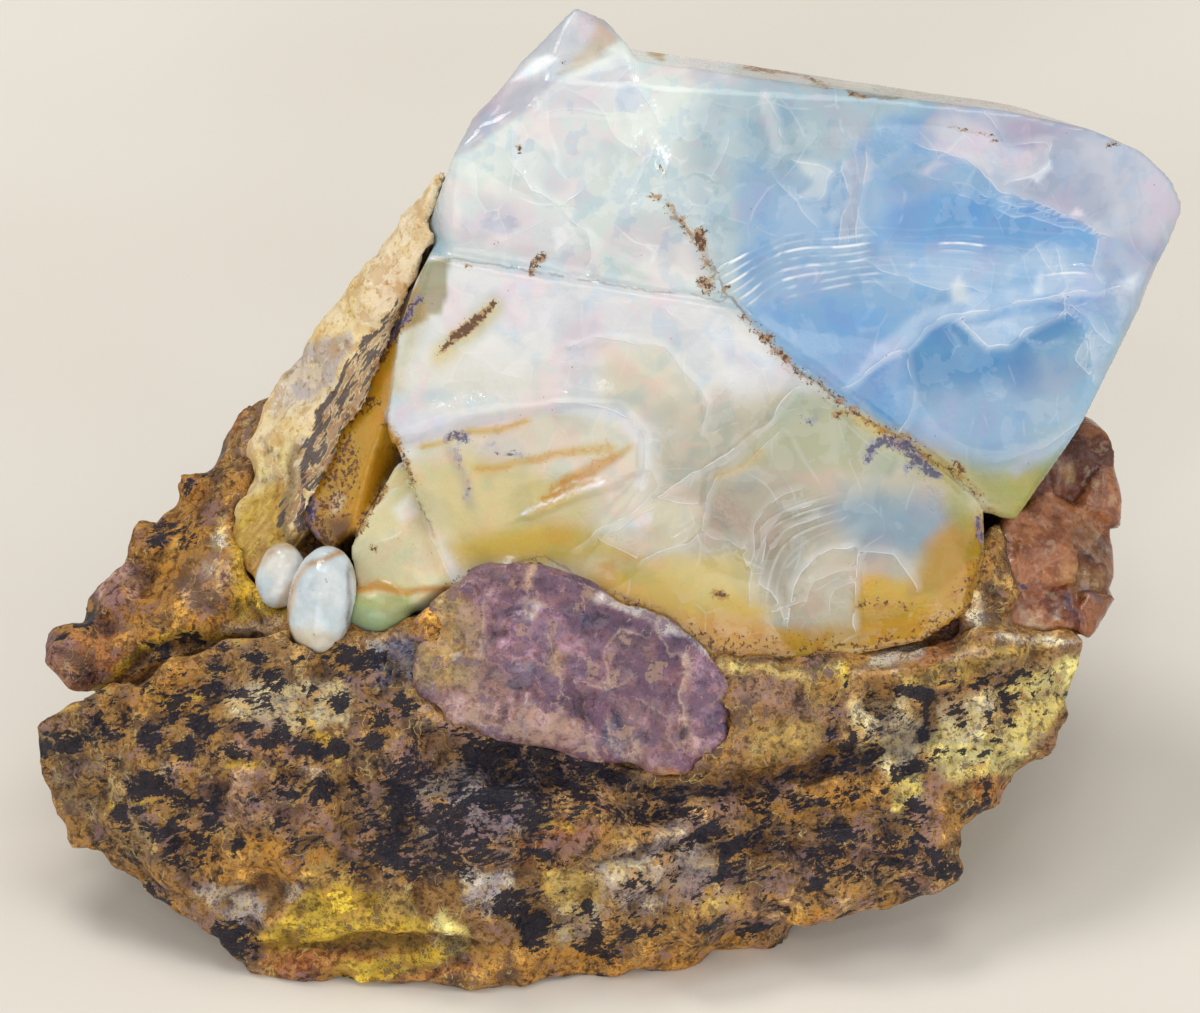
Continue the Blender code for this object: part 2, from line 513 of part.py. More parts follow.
def stand_on_origin(pieces, tools):
    """Drops the spent cutters and moves every piece so that the whole stands over the origin."""
    for tool in tools:
        bpy.data.objects.remove(tool)
    corners = np.array([corner for piece in pieces for corner in piece.bound_box])
    middle = (corners.min(axis=0) + corners.max(axis=0)) / 2
    for piece in pieces:
        piece.location = (-middle[0], -middle[1], 0.0)


def main():
    clear_scene()
    opal, brown = build_opal(), build_brown_opal()
    crust, purple = build_cream_crust(), build_purple_chalcedony()
    bead_finish = finish("opal_bead")
    front_bead = build_bead("opal_bead_front", FRONT_BEAD, FRONT_BEAD_FACES, bead_finish)
    rear_bead = build_bead("opal_bead_rear", REAR_BEAD, REAR_BEAD_FACES, bead_finish)
    rock = build_host_rock()

    # The opal keeps its whole shape; each piece in turn is cut back from those already placed
    tools = [seat_cutter(opal)]
    for piece in (brown, front_bead, rear_bead, crust, purple, rock):
        for tool in tools:
            cut(piece, tool)
        if piece is rock:
            tools.append(foot_cutter())
            cut(rock, tools[-1])
        drop_crumbs(piece)
        if piece is not rock:
            tools.append(seat_cutter(piece))
    stand_on_origin([opal, brown, front_bead, rear_bead, crust, purple, rock], tools)


main()
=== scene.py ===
"""Dresses the rough opal specimen: fine shapes, mineral colours and a plain soft stage."""

import math

import bmesh
import bpy
import numpy as np
from bpy.props import FloatProperty, FloatVectorProperty, PointerProperty
from mathutils import Matrix, Vector, noise
from mathutils.bvhtree import BVHTree


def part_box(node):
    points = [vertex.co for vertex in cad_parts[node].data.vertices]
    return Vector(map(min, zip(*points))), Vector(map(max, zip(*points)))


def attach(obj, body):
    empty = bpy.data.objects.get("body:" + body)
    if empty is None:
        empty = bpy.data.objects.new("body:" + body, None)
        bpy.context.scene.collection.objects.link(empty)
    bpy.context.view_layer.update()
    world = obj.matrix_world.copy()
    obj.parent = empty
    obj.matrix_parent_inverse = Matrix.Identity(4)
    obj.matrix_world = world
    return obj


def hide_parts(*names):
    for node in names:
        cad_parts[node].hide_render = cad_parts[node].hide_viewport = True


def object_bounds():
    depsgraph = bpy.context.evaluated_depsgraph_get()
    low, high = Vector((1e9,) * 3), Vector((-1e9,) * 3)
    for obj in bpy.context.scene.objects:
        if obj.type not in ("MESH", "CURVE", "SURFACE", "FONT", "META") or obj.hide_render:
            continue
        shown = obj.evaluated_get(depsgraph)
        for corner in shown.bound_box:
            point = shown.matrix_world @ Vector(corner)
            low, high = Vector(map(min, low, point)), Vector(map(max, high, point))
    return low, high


bl_info = {
    "name": "Rough Opal Specimen",
    "version": (1, 0, 0),
    "blender": (4, 5, 0),
    "location": "View3D > Sidebar > Opal",
    "description": "Builds the fine surfaces, the mineral colours and the stage of a rough opal specimen",
    "category": "Object",
}

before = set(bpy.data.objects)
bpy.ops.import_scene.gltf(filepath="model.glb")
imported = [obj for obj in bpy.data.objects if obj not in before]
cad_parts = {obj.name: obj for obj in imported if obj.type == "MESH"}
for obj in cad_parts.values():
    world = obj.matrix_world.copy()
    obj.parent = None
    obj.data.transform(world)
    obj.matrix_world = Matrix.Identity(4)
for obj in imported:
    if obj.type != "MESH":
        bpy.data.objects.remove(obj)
CAD_LOW, CAD_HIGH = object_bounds()
noise.seed_set(1)       # the noise drifts the same way on each run

MM = 0.001
# The markings are laid out in millimetres on the plane that faces the display side: across, up.
DISPLAY_TILT = math.radians(37.0)
DISPLAY_REACH = 720.0
AIM = np.array((-0.35, -1.49, 30.0))
ACROSS = np.array((1.0, 0.0, 0.0))
UP = np.array((0.0, math.sin(DISPLAY_TILT), math.cos(DISPLAY_TILT)))
INWARD = np.array((0.0, math.cos(DISPLAY_TILT), -math.sin(DISPLAY_TILT)))
EYE = AIM - INWARD * DISPLAY_REACH
BOX_MARGIN = 0.02       # the fine surfaces stay this far inside the solids' box, in millimetres

FACING_SHARE = 0.2      # a dish bites only where the surface faces its way at least this much
HAIR_REACH = 2.0        # hairlines are kept on the vertices this far around, in millimetres

# Camera and lights, in metres: name, place, size, power, colour
LENS = 252.0
ROOM_LIGHT = 0.32
LIGHTS = [
    ("key", (-0.25, 0.30, 0.95), 0.35, 3.0, (1.0, 0.97, 0.92)),
    ("overhead", (0.15, -0.05, 1.20), 0.60, 2.6, (1.0, 0.98, 0.95)),
    ("low_front", (-0.05, -1.20, 0.24), 1.20, 7.6, (1.0, 0.97, 0.93)),
    ("left", (-0.95, -0.30, 0.45), 1.00, 2.4, (1.0, 0.98, 0.96)),
    ("right", (0.95, -0.30, 0.55), 1.00, 2.6, (0.97, 0.98, 1.0)),
    ("spark", (-0.10, -0.75, 0.95), 0.06, 0.35, (1.0, 1.0, 1.0)),
]

# ---------------------------------------------------------------- shapes of the opal, in millimetres
SHIFT = np.array((-0.347, -1.489, 0.0))     # from the layout of the lumps to the row frame
HONEY_LOBE = [
    (-14.4, 6.3, 51.8), (0.3, 5.2, 49.6), (7.0, 4.2, 49.2), (10.6, 3.6, 48.6), (15.5, 1.0, 44.6),
    (21.8, -1.8, 40.8), (29.4, -4.4, 37.0), (32.6, -5.8, 34.4), (32.8, -7.6, 30.0), (31.6, -10.2, 26.8),
    (27.5, -12.2, 24.8), (20, -13.2, 23.6), (11.9, -13.2, 23.0), (3.6, -12.4, 24.0), (-5.1, -10.2, 26.0),
    (-12.5, -9.2, 27.8), (-13.7, -7.8, 30.2), (-17.0, -2.8, 37.6), (-18.1, -1.0, 40.0), (-17.1, 3.4, 46.2),
    (-15.6, 6.0, 49.4),
    (-13, 20, 47), (10, 20, 44), (28, 10, 32), (28, 6, 22), (0, 12, 15), (-14, 10, 22), (8, -6, 18),
]
LEFT_BLOCK = [
    (-12.7, -8.6, 28.6), (-16.1, -10.4, 27.2), (-20.6, -8.0, 26.8), (-21.3, -5.4, 29.4), (-20.0, -3.4, 31.4),
    (-17.2, -0.4, 35.2), (-15.0, -0.4, 36.0), (-19.6, 4, 24), (-10, 4, 22), (-12, -6, 21),
]
STAINED_FLANK = [
    (-15.2, 8.0, 48.0), (-17.2, 6.8, 44.8), (-18.2, 5.6, 40.6), (-17.9, 3.8, 36.9), (-19.2, 0.2, 32.8),
    (-21.0, -3.4, 30.2), (-23.2, -4.0, 28.0), (-26.0, -0.4, 29.2), (-25.8, 1.6, 32.2), (-24.9, 3.6, 33.9),
    (-23.2, 6.4, 37.0), (-20.6, 7.8, 41.4), (-17.6, 9.8, 45.0), (-13, 14, 42), (-12, 12, 26), (-21, 9, 22),
]
BLUE_BLOCK = [
    (-12.3, 10.6, 59.4), (-9.3, 12.6, 60.8), (-4.7, 15.2, 63.6), (3.4, 18.2, 63.7), (12.4, 17.2, 62.8),
    (25.0, 16.0, 61.3), (35.3, 15.6, 60.1), (41.5, 15.2, 58.8),
    (46.3, 14.6, 56.7), (48.9, 13.8, 54.4), (49.9, 13.0, 52.4), (49.0, 10.8, 50.4), (45.9, 6.2, 48.0),
    (40.8, -1.0, 39), (35.3, -4.8, 32), (33, -4.4, 32.4), (29.4, -2.8, 37.0), (10.6, 5.0, 48.6),
    (-12.8, 7.8, 51.1), (-13.6, 9.6, 54.6), (-15, 12, 50),
    (1.0, 24, 61.4), (12.5, 24.5, 58.8), (25.3, 23.4, 57.4), (35.6, 21.4, 57.0), (43.6, 19.0, 55.2),
    (-8, 22, 59), (-4, 29, 54), (10, 30, 50), (26, 27, 46), (42, 22.5, 42), (45.6, 17, 44),
    (-14, 23, 44), (-8, 27, 36), (40, 12, 32), (38, 16, 28), (20, 22, 28),
]
HORN = [
    (-12.3, 10.7, 59.5), (-10.4, 15.0, 61.0), (-6.8, 17.9, 63.9), (-2.1, 21.8, 66.9), (0.4, 21.9, 65.6),
    (2.4, 19.6, 64.5), (3.0, 18.3, 63.8), (-4.7, 15.1, 63.7), (-9.3, 12.4, 60.9),
    (-6, 24, 57), (3, 24, 59), (-9, 19, 57),
]
# Matrix that fills the corners between the minerals; it is one with the host rock
ROCK_FILLS = [
    [(30.5, -9.8, 24.2), (34.6, -10.4, 24.2), (34.6, -7.6, 28.6), (32.8, -7.2, 30.2), (31.4, -9.2, 28.2), (31, -2, 22),
     (36, -2, 24), (33.8, -3.8, 31.4)],
    [(-16.5, -11.5, 23), (-18.5, -12.8, 25.6), (-14.5, -12.6, 27.4), (-12.5, -10.2, 28.0), (-15, -16.5, 22.4),
     (-19.5, -14.5, 23.4), (-12, -6, 20)],
]
GREEN_FOOT = ((-18.9, -9.4, 26.2), (2.9, 2.4, 2.2))
# Shell-shaped breaks: middle of the dish, the way it faces, half-widths across and up, height (minus is in)
OPAL_DISHES = [
    ((-7.0, -4.2, 33.4), (-0.05, -0.84, 0.54), (13.5, 8.5), -1.25),
    ((-2.6, 13.4, 58.6), (-0.20, -0.76, 0.62), (9.0, 7.5), -0.55),
    ((24.0, 8.2, 53.4), (0.02, -0.74, 0.67), (19.0, 9.0), -0.75),
    ((36.0, 2.6, 45.0), (0.10, -0.74, 0.66), (10.0, 9.0), -0.60),
    ((22.4, -9.2, 28.6), (0.10, -0.85, 0.51), (8.5, 8.0), -0.90),
    ((14.0, -5.4, 35.0), (0.10, -0.80, 0.60), (9.0, 7.0), -0.45),
    ((17.0, 29.6, 50.0), (0.10, 0.98, 0.20), (15.0, 8.0), -1.60),
    ((-6.0, 28.4, 47.0), (-0.30, 0.94, 0.15), (9.0, 10.0), -1.40),
    ((46.6, 12.6, 46.6), (0.95, -0.20, 0.20), (6.0, 5.0), -0.60),
    ((-8.6, 16.6, 61.6), (-0.62, -0.46, 0.63), (4.5, 3.0), -0.45),
    ((-18.6, 7.6, 40.0), (-0.70, -0.55, 0.46), (5.5, 7.5), -0.80),
]
# Low crests and splits on the opal, laid out on the display plane: line, half-width, height
OPAL_CRESTS = [
    ([-171, 57, -111, 78, -34, 91, 17, 90, 41, 66, 39, 23, 0, -24], 0.8, 0.34),
    ([-21, 138, 9, 147, 56, 137, 86, 104, 94, 70], 0.7, 0.18),
    ([167, 100, 146, 70, 94, 27, 90, -16, 69, -33, 34, -46], 0.9, 0.26),
    ([-71, 317, -57, 337, -19, 342, 13, 337], 0.7, 0.18),
    ([-64, 285, -41, 265, -19, 254, -8, 231, -5, 209], 0.7, 0.18), ([24, 389, 35, 366, 46, 333], 0.6, 0.1),
    ([225, -33, 224, -97], 0.4, -0.14), ([-60, -7, -21, 10, 17, 23], 0.8, 0.34),
    ([-129, 214, -51, 199, 3, 191, 71, 180, 107, 176], 0.5, -0.3),
    ([120, 167, 157, 127, 189, 102, 220, 78, 261, 55, 297, 33, 333, 6], 0.5, -0.3),
    ([62, 263, 92, 218, 99, 191, 116, 170], 0.5, -0.12),
    ([231, 104, 283, 143, 313, 156, 347, 162, 377, 138, 399, 147, 420, 177, 454, 186], 0.5, 0.08),
    ([-171, 48, -146, -20, -124, -67], 0.5, -0.3),
    ([-124, 310, -94, 327, -47, 370, 0, 387, 17, 398], 0.6, -0.12),
]

# ---------------------------------------------------------------- markings
# Points are laid on the display plane: across, up, across, up, in tenths of a millimetre. The rest is in millimetres.
TENTHS = 10.0
# Tints of the opal, among them a few painted highlights and one painted shadow: colour, strength, soft edge,
# half-width of a line (0 for an area), points
OPAL_TINTS = [
    ("ivory", 1, 1.5, 0, [-141, 314, -103, 348, -34, 400, 17, 404, 86, 396, 120, 383, 116, 228, 107, 177, 0,
     191, -129, 213]), ("mist", 0.85, 1.8, 0, [79, 340, 120, 366, 124, 177, 96, 180, 86, 220, 67, 258, 77, 297]),
    ("pearl_and_highlight", 0.6, 1.2, 0, [-129, 250, -86, 263, -34, 250, -9, 224, -9, 203, -51, 207, -124, 220]),
    ("snow_and_highlight", 0.7, 0.7, 0, [-75, 318, -47, 338, 0, 338, 10, 323, 0, 297, -7, 280, -34, 258, -51, 267, -67, 284]),
    ("pearl_and_highlight", 0.7, 0.5, 0, [-34, 366, 17, 383, 27, 374, 43, 336, 13, 340, -34, 340, -69, 331, -60, 353]),
    ("dusk", 0.22, 0.8, 0, [17, 258, 69, 250, 56, 220, 21, 210]),
    ("dusk", 0.25, 0.5, 0, [77, 384, 120, 376, 113, 353, 77, 366]),
    ("chip", 0.95, 0.25, 0, [-132, 295, -107, 338, -77, 374, -51, 403, -21, 427, -5, 424, 15, 398, 0, 385, -26,
     372, -47, 355, -69, 333, -94, 321, -111, 307]),
    ("fawn", 0.8, 0.5, 0, [-34, 370, -17, 387, -2, 408, -7, 426, 15, 398, 0, 385, -21, 374]),
    ("dusk", 0.45, 0.4, 0, [-113, 312, -105, 336, -69, 361, -34, 367, -56, 350, -86, 324]),
    # a painted highlight on the grey chip at the top left
    ("frost_and_highlight", 0.9, 0.25, 0, [-79, 366, -60, 378, -45, 386, -34, 383, -45, 374, -64, 367]),
    ("sky", 1, 0.7, 0, [118, 297, 210, 297, 231, 333, 279, 346, 343, 280, 394, 258, 454, 241, 471, 220, 454,
     177, 429, 126, 420, 91, 394, 40, 360, 6, 330, 7, 297, 33, 261, 55, 220, 78, 189, 102, 157, 127, 122, 167,
     118, 220]), ("mist", 0.85, 1.4, 0, [118, 357, 171, 360, 231, 350, 240, 333, 214, 299, 171, 271, 118, 293]),
    ("haze_blue", 0.5, 1.5, 0, [118, 293, 171, 288, 214, 293, 213, 237, 154, 237, 118, 237]),
    ("haze_blue", 0.45, 0.8, 0, [219, 297, 291, 306, 334, 267, 283, 263, 223, 233, 214, 237]),
    ("azure", 0.95, 0.9, 0, [274, 267, 330, 270, 386, 254, 429, 240, 424, 223, 377, 220, 300, 220, 240, 230,
     249, 250]), ("ice", 0.5, 1.4, 0, [240, 228, 309, 218, 394, 220, 411, 198, 326, 186, 257, 198, 223, 210]),
    ("haze_blue", 0.6, 0.8, 0, [154, 233, 231, 233, 240, 211, 214, 186, 163, 177, 129, 177, 118, 203]),
    ("azure", 0.55, 1.2, 0, [137, 173, 223, 177, 257, 160, 223, 117, 210, 108, 171, 134]),
    ("ice", 0.75, 0.4, 0, [213, 105, 253, 132, 279, 153, 300, 160, 334, 168, 377, 177, 429, 184, 463, 190, 454,
     203, 394, 196, 330, 186, 291, 174, 261, 156, 231, 132]),
    ("deep_azure", 1, 0.15, 0, [215, 102, 261, 131, 279, 147, 300, 155, 319, 151, 334, 137, 351, 137, 362, 148,
     394, 163, 410, 160, 422, 138, 416, 96, 394, 57, 360, 36, 309, 31, 261, 57, 236, 78]),
    ("ice", 0.65, 0.15, 0, [305, 160, 330, 156, 347, 167, 377, 172, 396, 165, 362, 150, 351, 138, 334, 138,
     321, 144]), ("azure", 0.5, 0.25, 0, [309, 162, 347, 174, 407, 181, 437, 180, 399, 168, 369, 165, 343, 159]),
    ("azure", 0.35, 0.2, 0, [215, 102, 261, 131, 267, 100, 264, 66, 253, 64, 236, 78]),
    ("haze_blue", 0.8, 1.6, 0, [270, 102, 343, 108, 416, 104, 411, 66, 377, 38, 330, 36, 274, 57]),
    ("mist", 0.5, 1.5, 0, [373, 134, 429, 151, 429, 100, 407, 57, 369, 57]),
    ("sage", 0.55, 2.2, 0, [257, 57, 343, 38, 394, 57, 377, 6, 351, -20, 309, 6]),
    ("moss", 1, 1.5, 0, [279, 40, 343, 28, 394, 44, 386, 14, 356, -24, 330, -16, 300, 14]),
    ("haze_blue", 0.5, 0.4, 0, [350, 31, 369, 48, 396, 57, 381, 42, 358, 24]),
    ("lilac", 1, 0.35, 0, [279, 333, 296, 348, 343, 353, 394, 344, 471, 323, 501, 284, 507, 258, 489, 224, 471,
     210, 441, 228, 394, 252, 343, 270, 313, 299, 273, 312]),
    ("pearl_and_highlight", 0.5, 0.5, 0, [281, 331, 309, 336, 347, 314, 386, 312, 386, 295, 351, 275, 321, 293, 291, 307]),
    ("dusk", 0.75, 0.3, 0, [330, 338, 394, 327, 384, 314, 369, 306, 351, 309, 334, 327]),
    ("pearl_and_highlight", 0.5, 1, 0, [411, 314, 471, 314, 499, 280, 506, 254, 484, 220, 446, 235]),
    ("lilac", 0.75, 1, 0, [429, 233, 489, 228, 467, 177, 453, 151, 437, 177, 424, 207]),
    ("haze_blue", 0.6, 1, 0, [429, 177, 459, 177, 441, 134, 429, 96, 420, 143]),
    ("mist", 0.5, 1.8, 0.6, [118, 306, 120, 228]), ("mist", 0.6, 0.4, 0.8, [137, 362, 223, 348, 274, 343]),
    ("fawn", 0.6, 0.3, 0.5, [120, 376, 171, 367, 257, 355, 343, 346, 411, 330]),
    ("amber", 0.95, 0.2, 0, [39, 396, 56, 402, 69, 393, 51, 383, 41, 387]),
    ("lilac", 0.75, 0.25, 0, [210, 297, 230, 306, 233, 293, 225, 276, 219, 233, 206, 232, 211, 263]),
    ("snow_and_highlight", 0.5, 0.25, 0, [139, 353, 150, 340, 157, 314, 157, 301, 147, 304, 144, 323, 135, 344]),
    ("snow_and_highlight", 0.5, 0.25, 0, [167, 297, 201, 287, 194, 282, 187, 264, 171, 268, 182, 280]),
    ("snow_and_highlight", 0.65, 0.35, 0, [300, 191, 307, 196, 311, 190, 316, 175, 304, 174, 301, 181]),
    ("frost_and_highlight", 0.4, 0.35, 0, [372, 198, 379, 201, 379, 184, 372, 182]),
    # The next four entries are painted glints and a faint painted sheen on the upper blue.
    ("frost_and_highlight", 0.7, 0.25, 0, [367, 282, 387, 297, 387, 290, 372, 278]),
    ("frost_and_highlight", 0.7, 0.25, 0, [405, 248, 411, 255, 417, 248]),
    ("frost_and_highlight", 0.55, 0.35, 0, [442, 192, 460, 198, 455, 180]),
    ("pearl_and_highlight", 0.4, 0.3, 0, [266, 287, 287, 297, 296, 293, 279, 284]),
    ("bone", 1, 0.2, 0, [-150, 220, -124, 213, -51, 198, 34, 186, 86, 177, 120, 167, 157, 127, 189, 102, 220,
     78, 261, 55, 297, 33, 333, 6, 339, -46, 330, -84, 300, -114, 257, -127, 214, -149, 120, -149, 77, -132, 0,
     -89, -51, -54, -103, -63, -127, -80, -137, -46, -171, 44, -183, 74, -173, 151]),
    ("buff", 0.95, 2.4, 0, [86, 83, 163, 104, 261, 48, 334, 1, 334, -80, 257, -132, 137, -136, 51, -97, 0, -46,
     34, 14]), ("pearl_and_highlight", 0.7, 2, 0, [-111, 203, 0, 186, 86, 173, 103, 151, 34, 151, -34, 143, -103, 168]),
    ("cream", 0.35, 3, 0, [-137, 143, -51, 108, -34, 91, -129, 91, -171, 108]),
    ("cream", 0.8, 1.2, 0, [0, 138, 56, 134, 86, 100, 90, 66, 43, 74, 0, 91]),
    ("buff", 0.7, 2, 0, [86, 91, 163, 104, 146, 70, 86, 31, 43, 23, 43, 66]),
    ("pearl_and_highlight", 0.55, 1, 0, [103, 151, 146, 134, 171, 104, 137, 91, 111, 104]),
    ("dusk", 0.45, 0.8, 0.5, [111, 130, 130, 121]),
    ("sage", 0.9, 0.5, 0, [146, 70, 167, 102, 197, 91, 231, 66, 261, 48, 249, 27, 171, 31, 120, 40]),
    ("shade", 0.75, 2, 0, [86, 23, 171, 36, 189, 6, 163, -29, 120, -37, 86, -20]),
    ("buff", 0.6, 1.5, 0, [171, 36, 231, 36, 244, 16, 197, 14]),
    ("cream", 0.8, 0.8, 0, [-159, 51, -103, 66, -34, 81, 17, 72, 36, 53, 43, 23, 17, -12, -34, -37, -120, -48,
     -146, -12]), ("straw", 0.85, 1.4, 0, [-154, 38, -111, 47, -51, 31, 0, 6, -26, -37, -111, -46, -137, -20]),
    ("gold", 0.85, 1.2, 0, [-129, -33, -51, -12, 0, -20, 34, -46, -51, -54, -120, -56]),
    # a painted highlight band along the lobe's lower left
    ("pearl_and_highlight", 0.85, 0.35, 0, [-178, 84, -137, 79, -94, 79, -69, 74, -111, 66, -146, 55, -165, 53, -177, 70]),
    ("gold", 0.8, 0.25, 0.2, [-150, 51, -111, 63, -64, 73]),
    ("pearl_and_highlight", 0.6, 0.25, 0.45, [-47, 84, -9, 86, 19, 76, 34, 57, 39, 36, 34, 18]),
    ("tangerine", 0.7, 0.4, 0, [-51, 8, -34, 24, 0, 42, 24, 52, 19, 43, -9, 24, -34, 9]),
    # The shade stroke on this line is a painted shadow at the scoop's left side.
    ("gold", 0.6, 0.3, 0.3, [-105, 31, -51, 42, 9, 51]), ("shade", 0.6, 0.5, 0.5, [-129, 48, -118, 23, -111, 1]),
    # two painted highlight lines on the scoop's lower lip
    ("frost_and_highlight", 1, 0.1, 0.16, [-65, -6, -34, 9, 2, 20]), ("frost_and_highlight", 0.6, 0.15, 0.1, [-45, 13, -21, 21, 0, 24]),
    ("cream", 0.7, 0.3, 0, [47, 6, 90, 3, 86, -20, 60, -37, 34, -42, 9, -29, 17, -7]),
    ("pearl_and_highlight", 0.6, 0.15, 0, [19, -18, 34, -5, 43, -5, 43, -12, 30, -18]),
    ("amber", 0.9, 0.9, 0, [-34, -59, 34, -72, 120, -102, 154, -123, 86, -136, 0, -84]),
    ("gold", 0.9, 1.2, 0, [-34, -46, 0, -53, 51, -48, 120, -46, 141, -89, 124, -140, 86, -127, 0, -80]),
    ("straw", 0.7, 1, 0, [34, -46, 120, -42, 137, -72, 86, -80]),
    ("tangerine", 0.7, 0.8, 0, [86, -90, 137, -97, 163, -123, 120, -136, 86, -114]),
    ("honey", 0.6, 0.4, 0, [-6, -50, 10, -46, 15, -73, 0, -73]),
    ("shade", 0.6, 1.2, 0, [133, -33, 163, 6, 197, -3, 223, -33, 197, -46, 171, -72, 163, -102, 146, -80]),
    ("shade", 0.55, 0.6, 0, [146, -12, 171, 1, 197, -20, 171, -46, 154, -72, 141, -54]),
    ("buff", 0.8, 0.6, 0, [167, -97, 171, -63, 197, -42, 220, -36, 220, -102, 189, -114]),
    ("teal", 0.95, 1.8, 0, [190, -3, 214, 12, 283, 10, 309, -7, 296, -37, 257, -46, 225, -36, 206, -20]),
    ("shade", 0.5, 0.8, 0, [225, -39, 257, -46, 270, -63, 225, -63]),
    ("amber", 0.95, 1, 0, [223, -63, 270, -68, 283, -123, 231, -136, 154, -140, 154, -109, 219, -102]),
    ("gold", 0.9, 0.7, 0, [223, -60, 266, -65, 261, -80, 225, -80]),
    ("amber", 1, 1, 0, [279, -33, 313, -5, 336, -7, 336, -46, 330, -84, 296, -119, 261, -114, 267, -72]),
    ("gold", 0.6, 0.6, 0, [270, -80, 300, -72, 291, -99, 261, -102]),
    ("tangerine", 0.55, 0.8, 0, [225, -104, 283, -90, 307, -54, 333, -37, 326, -84, 293, -119, 231, -132]),
    ("tangerine", 0.5, 0.8, 0, [0, -72, 77, -96, 120, -111, 171, -121, 154, -135, 103, -130, 34, -102]),
    ("rust", 0.45, 0.5, 0.35, [77, -123, 137, -135, 223, -132, 283, -118, 319, -87, 333, -46]),
    ("straw", 0.6, 0.8, 0.8, [223, 74, 261, 51, 309, 27, 330, -3]),
    ("moss", 0.7, 0.8, 0.9, [270, 42, 300, 18, 310, -12]),
    ("olive", 0.9, 0.25, 0, [-151, 210, -129, 214, -130, 181, -137, 165, -151, 165, -157, 179]),
    ("straw", 0.5, 0.8, 0.6, [-156, 160, -167, 134, -176, 104]),
    ("straw", 0.75, 0.8, 1, [-137, 132, -118, 143, -94, 170]),
    ("butter", 1, 0.25, 0, [-171, 47, -154, 23, -137, -29, -124, -73, -163, -90, -219, -84, -219, -33, -201,
     -5, -189, 23]), ("straw", 0.75, 1, 0, [-176, 44, -146, 31, -137, -20, -171, 14]),
    # a painted highlight on the left block
    ("snow_and_highlight", 0.7, 0.4, 0, [-176, -3, -161, 12, -156, -7, -170, -16]),
    ("sprout", 0.85, 0.5, 0, [-219, -75, -163, -75, -151, -97, -168, -119, -219, -119]),
    ("tangerine", 0.8, 0.25, 0.3, [-216, -73, -193, -67, -163, -73, -127, -69]),
    ("teal", 0.6, 0.2, 0, [-214, -99, -190, -104, -197, -119, -214, -114]),
    ("honey", 1, 0.25, 0, [-149, 162, -173, 147, -183, 74, -170, 47, -201, -5, -218, -33, -236, -50, -264, -12,
     -259, 48, -226, 100, -190, 151, -154, 190]),
    ("olive", 0.8, 0.5, 0, [-150, 190, -150, 162, -171, 147, -193, 134, -214, 104, -227, 96, -197, 147]),
    ("amber", 0.6, 1, 0, [-214, 117, -180, 134, -183, 91, -193, 74, -219, 66]),
    ("amber", 0.85, 1, 0, [-242, 57, -210, 70, -195, 48, -201, 6, -231, 6, -244, 31]),
    ("honey", 0.8, 0.6, 0, [-193, 66, -171, 57, -189, 23, -201, -3, -206, 31]),
    ("pearl_and_highlight", 0.5, 0.25, 0, [-231, 6, -223, 14, -218, 7, -225, -7, -231, -7]),
    ("rust", 0.8, 0.4, 0, [-242, -12, -216, -7, -216, -29, -240, -42]),
    ("mist", 0.7, 0.3, 0, [-264, 23, -252, 31, -252, 6, -261, 1]),
    ("pearl_and_highlight", 0.7, 0.15, 0, [-175, 44, -167, 47, -165, 33, -173, 31]),
]
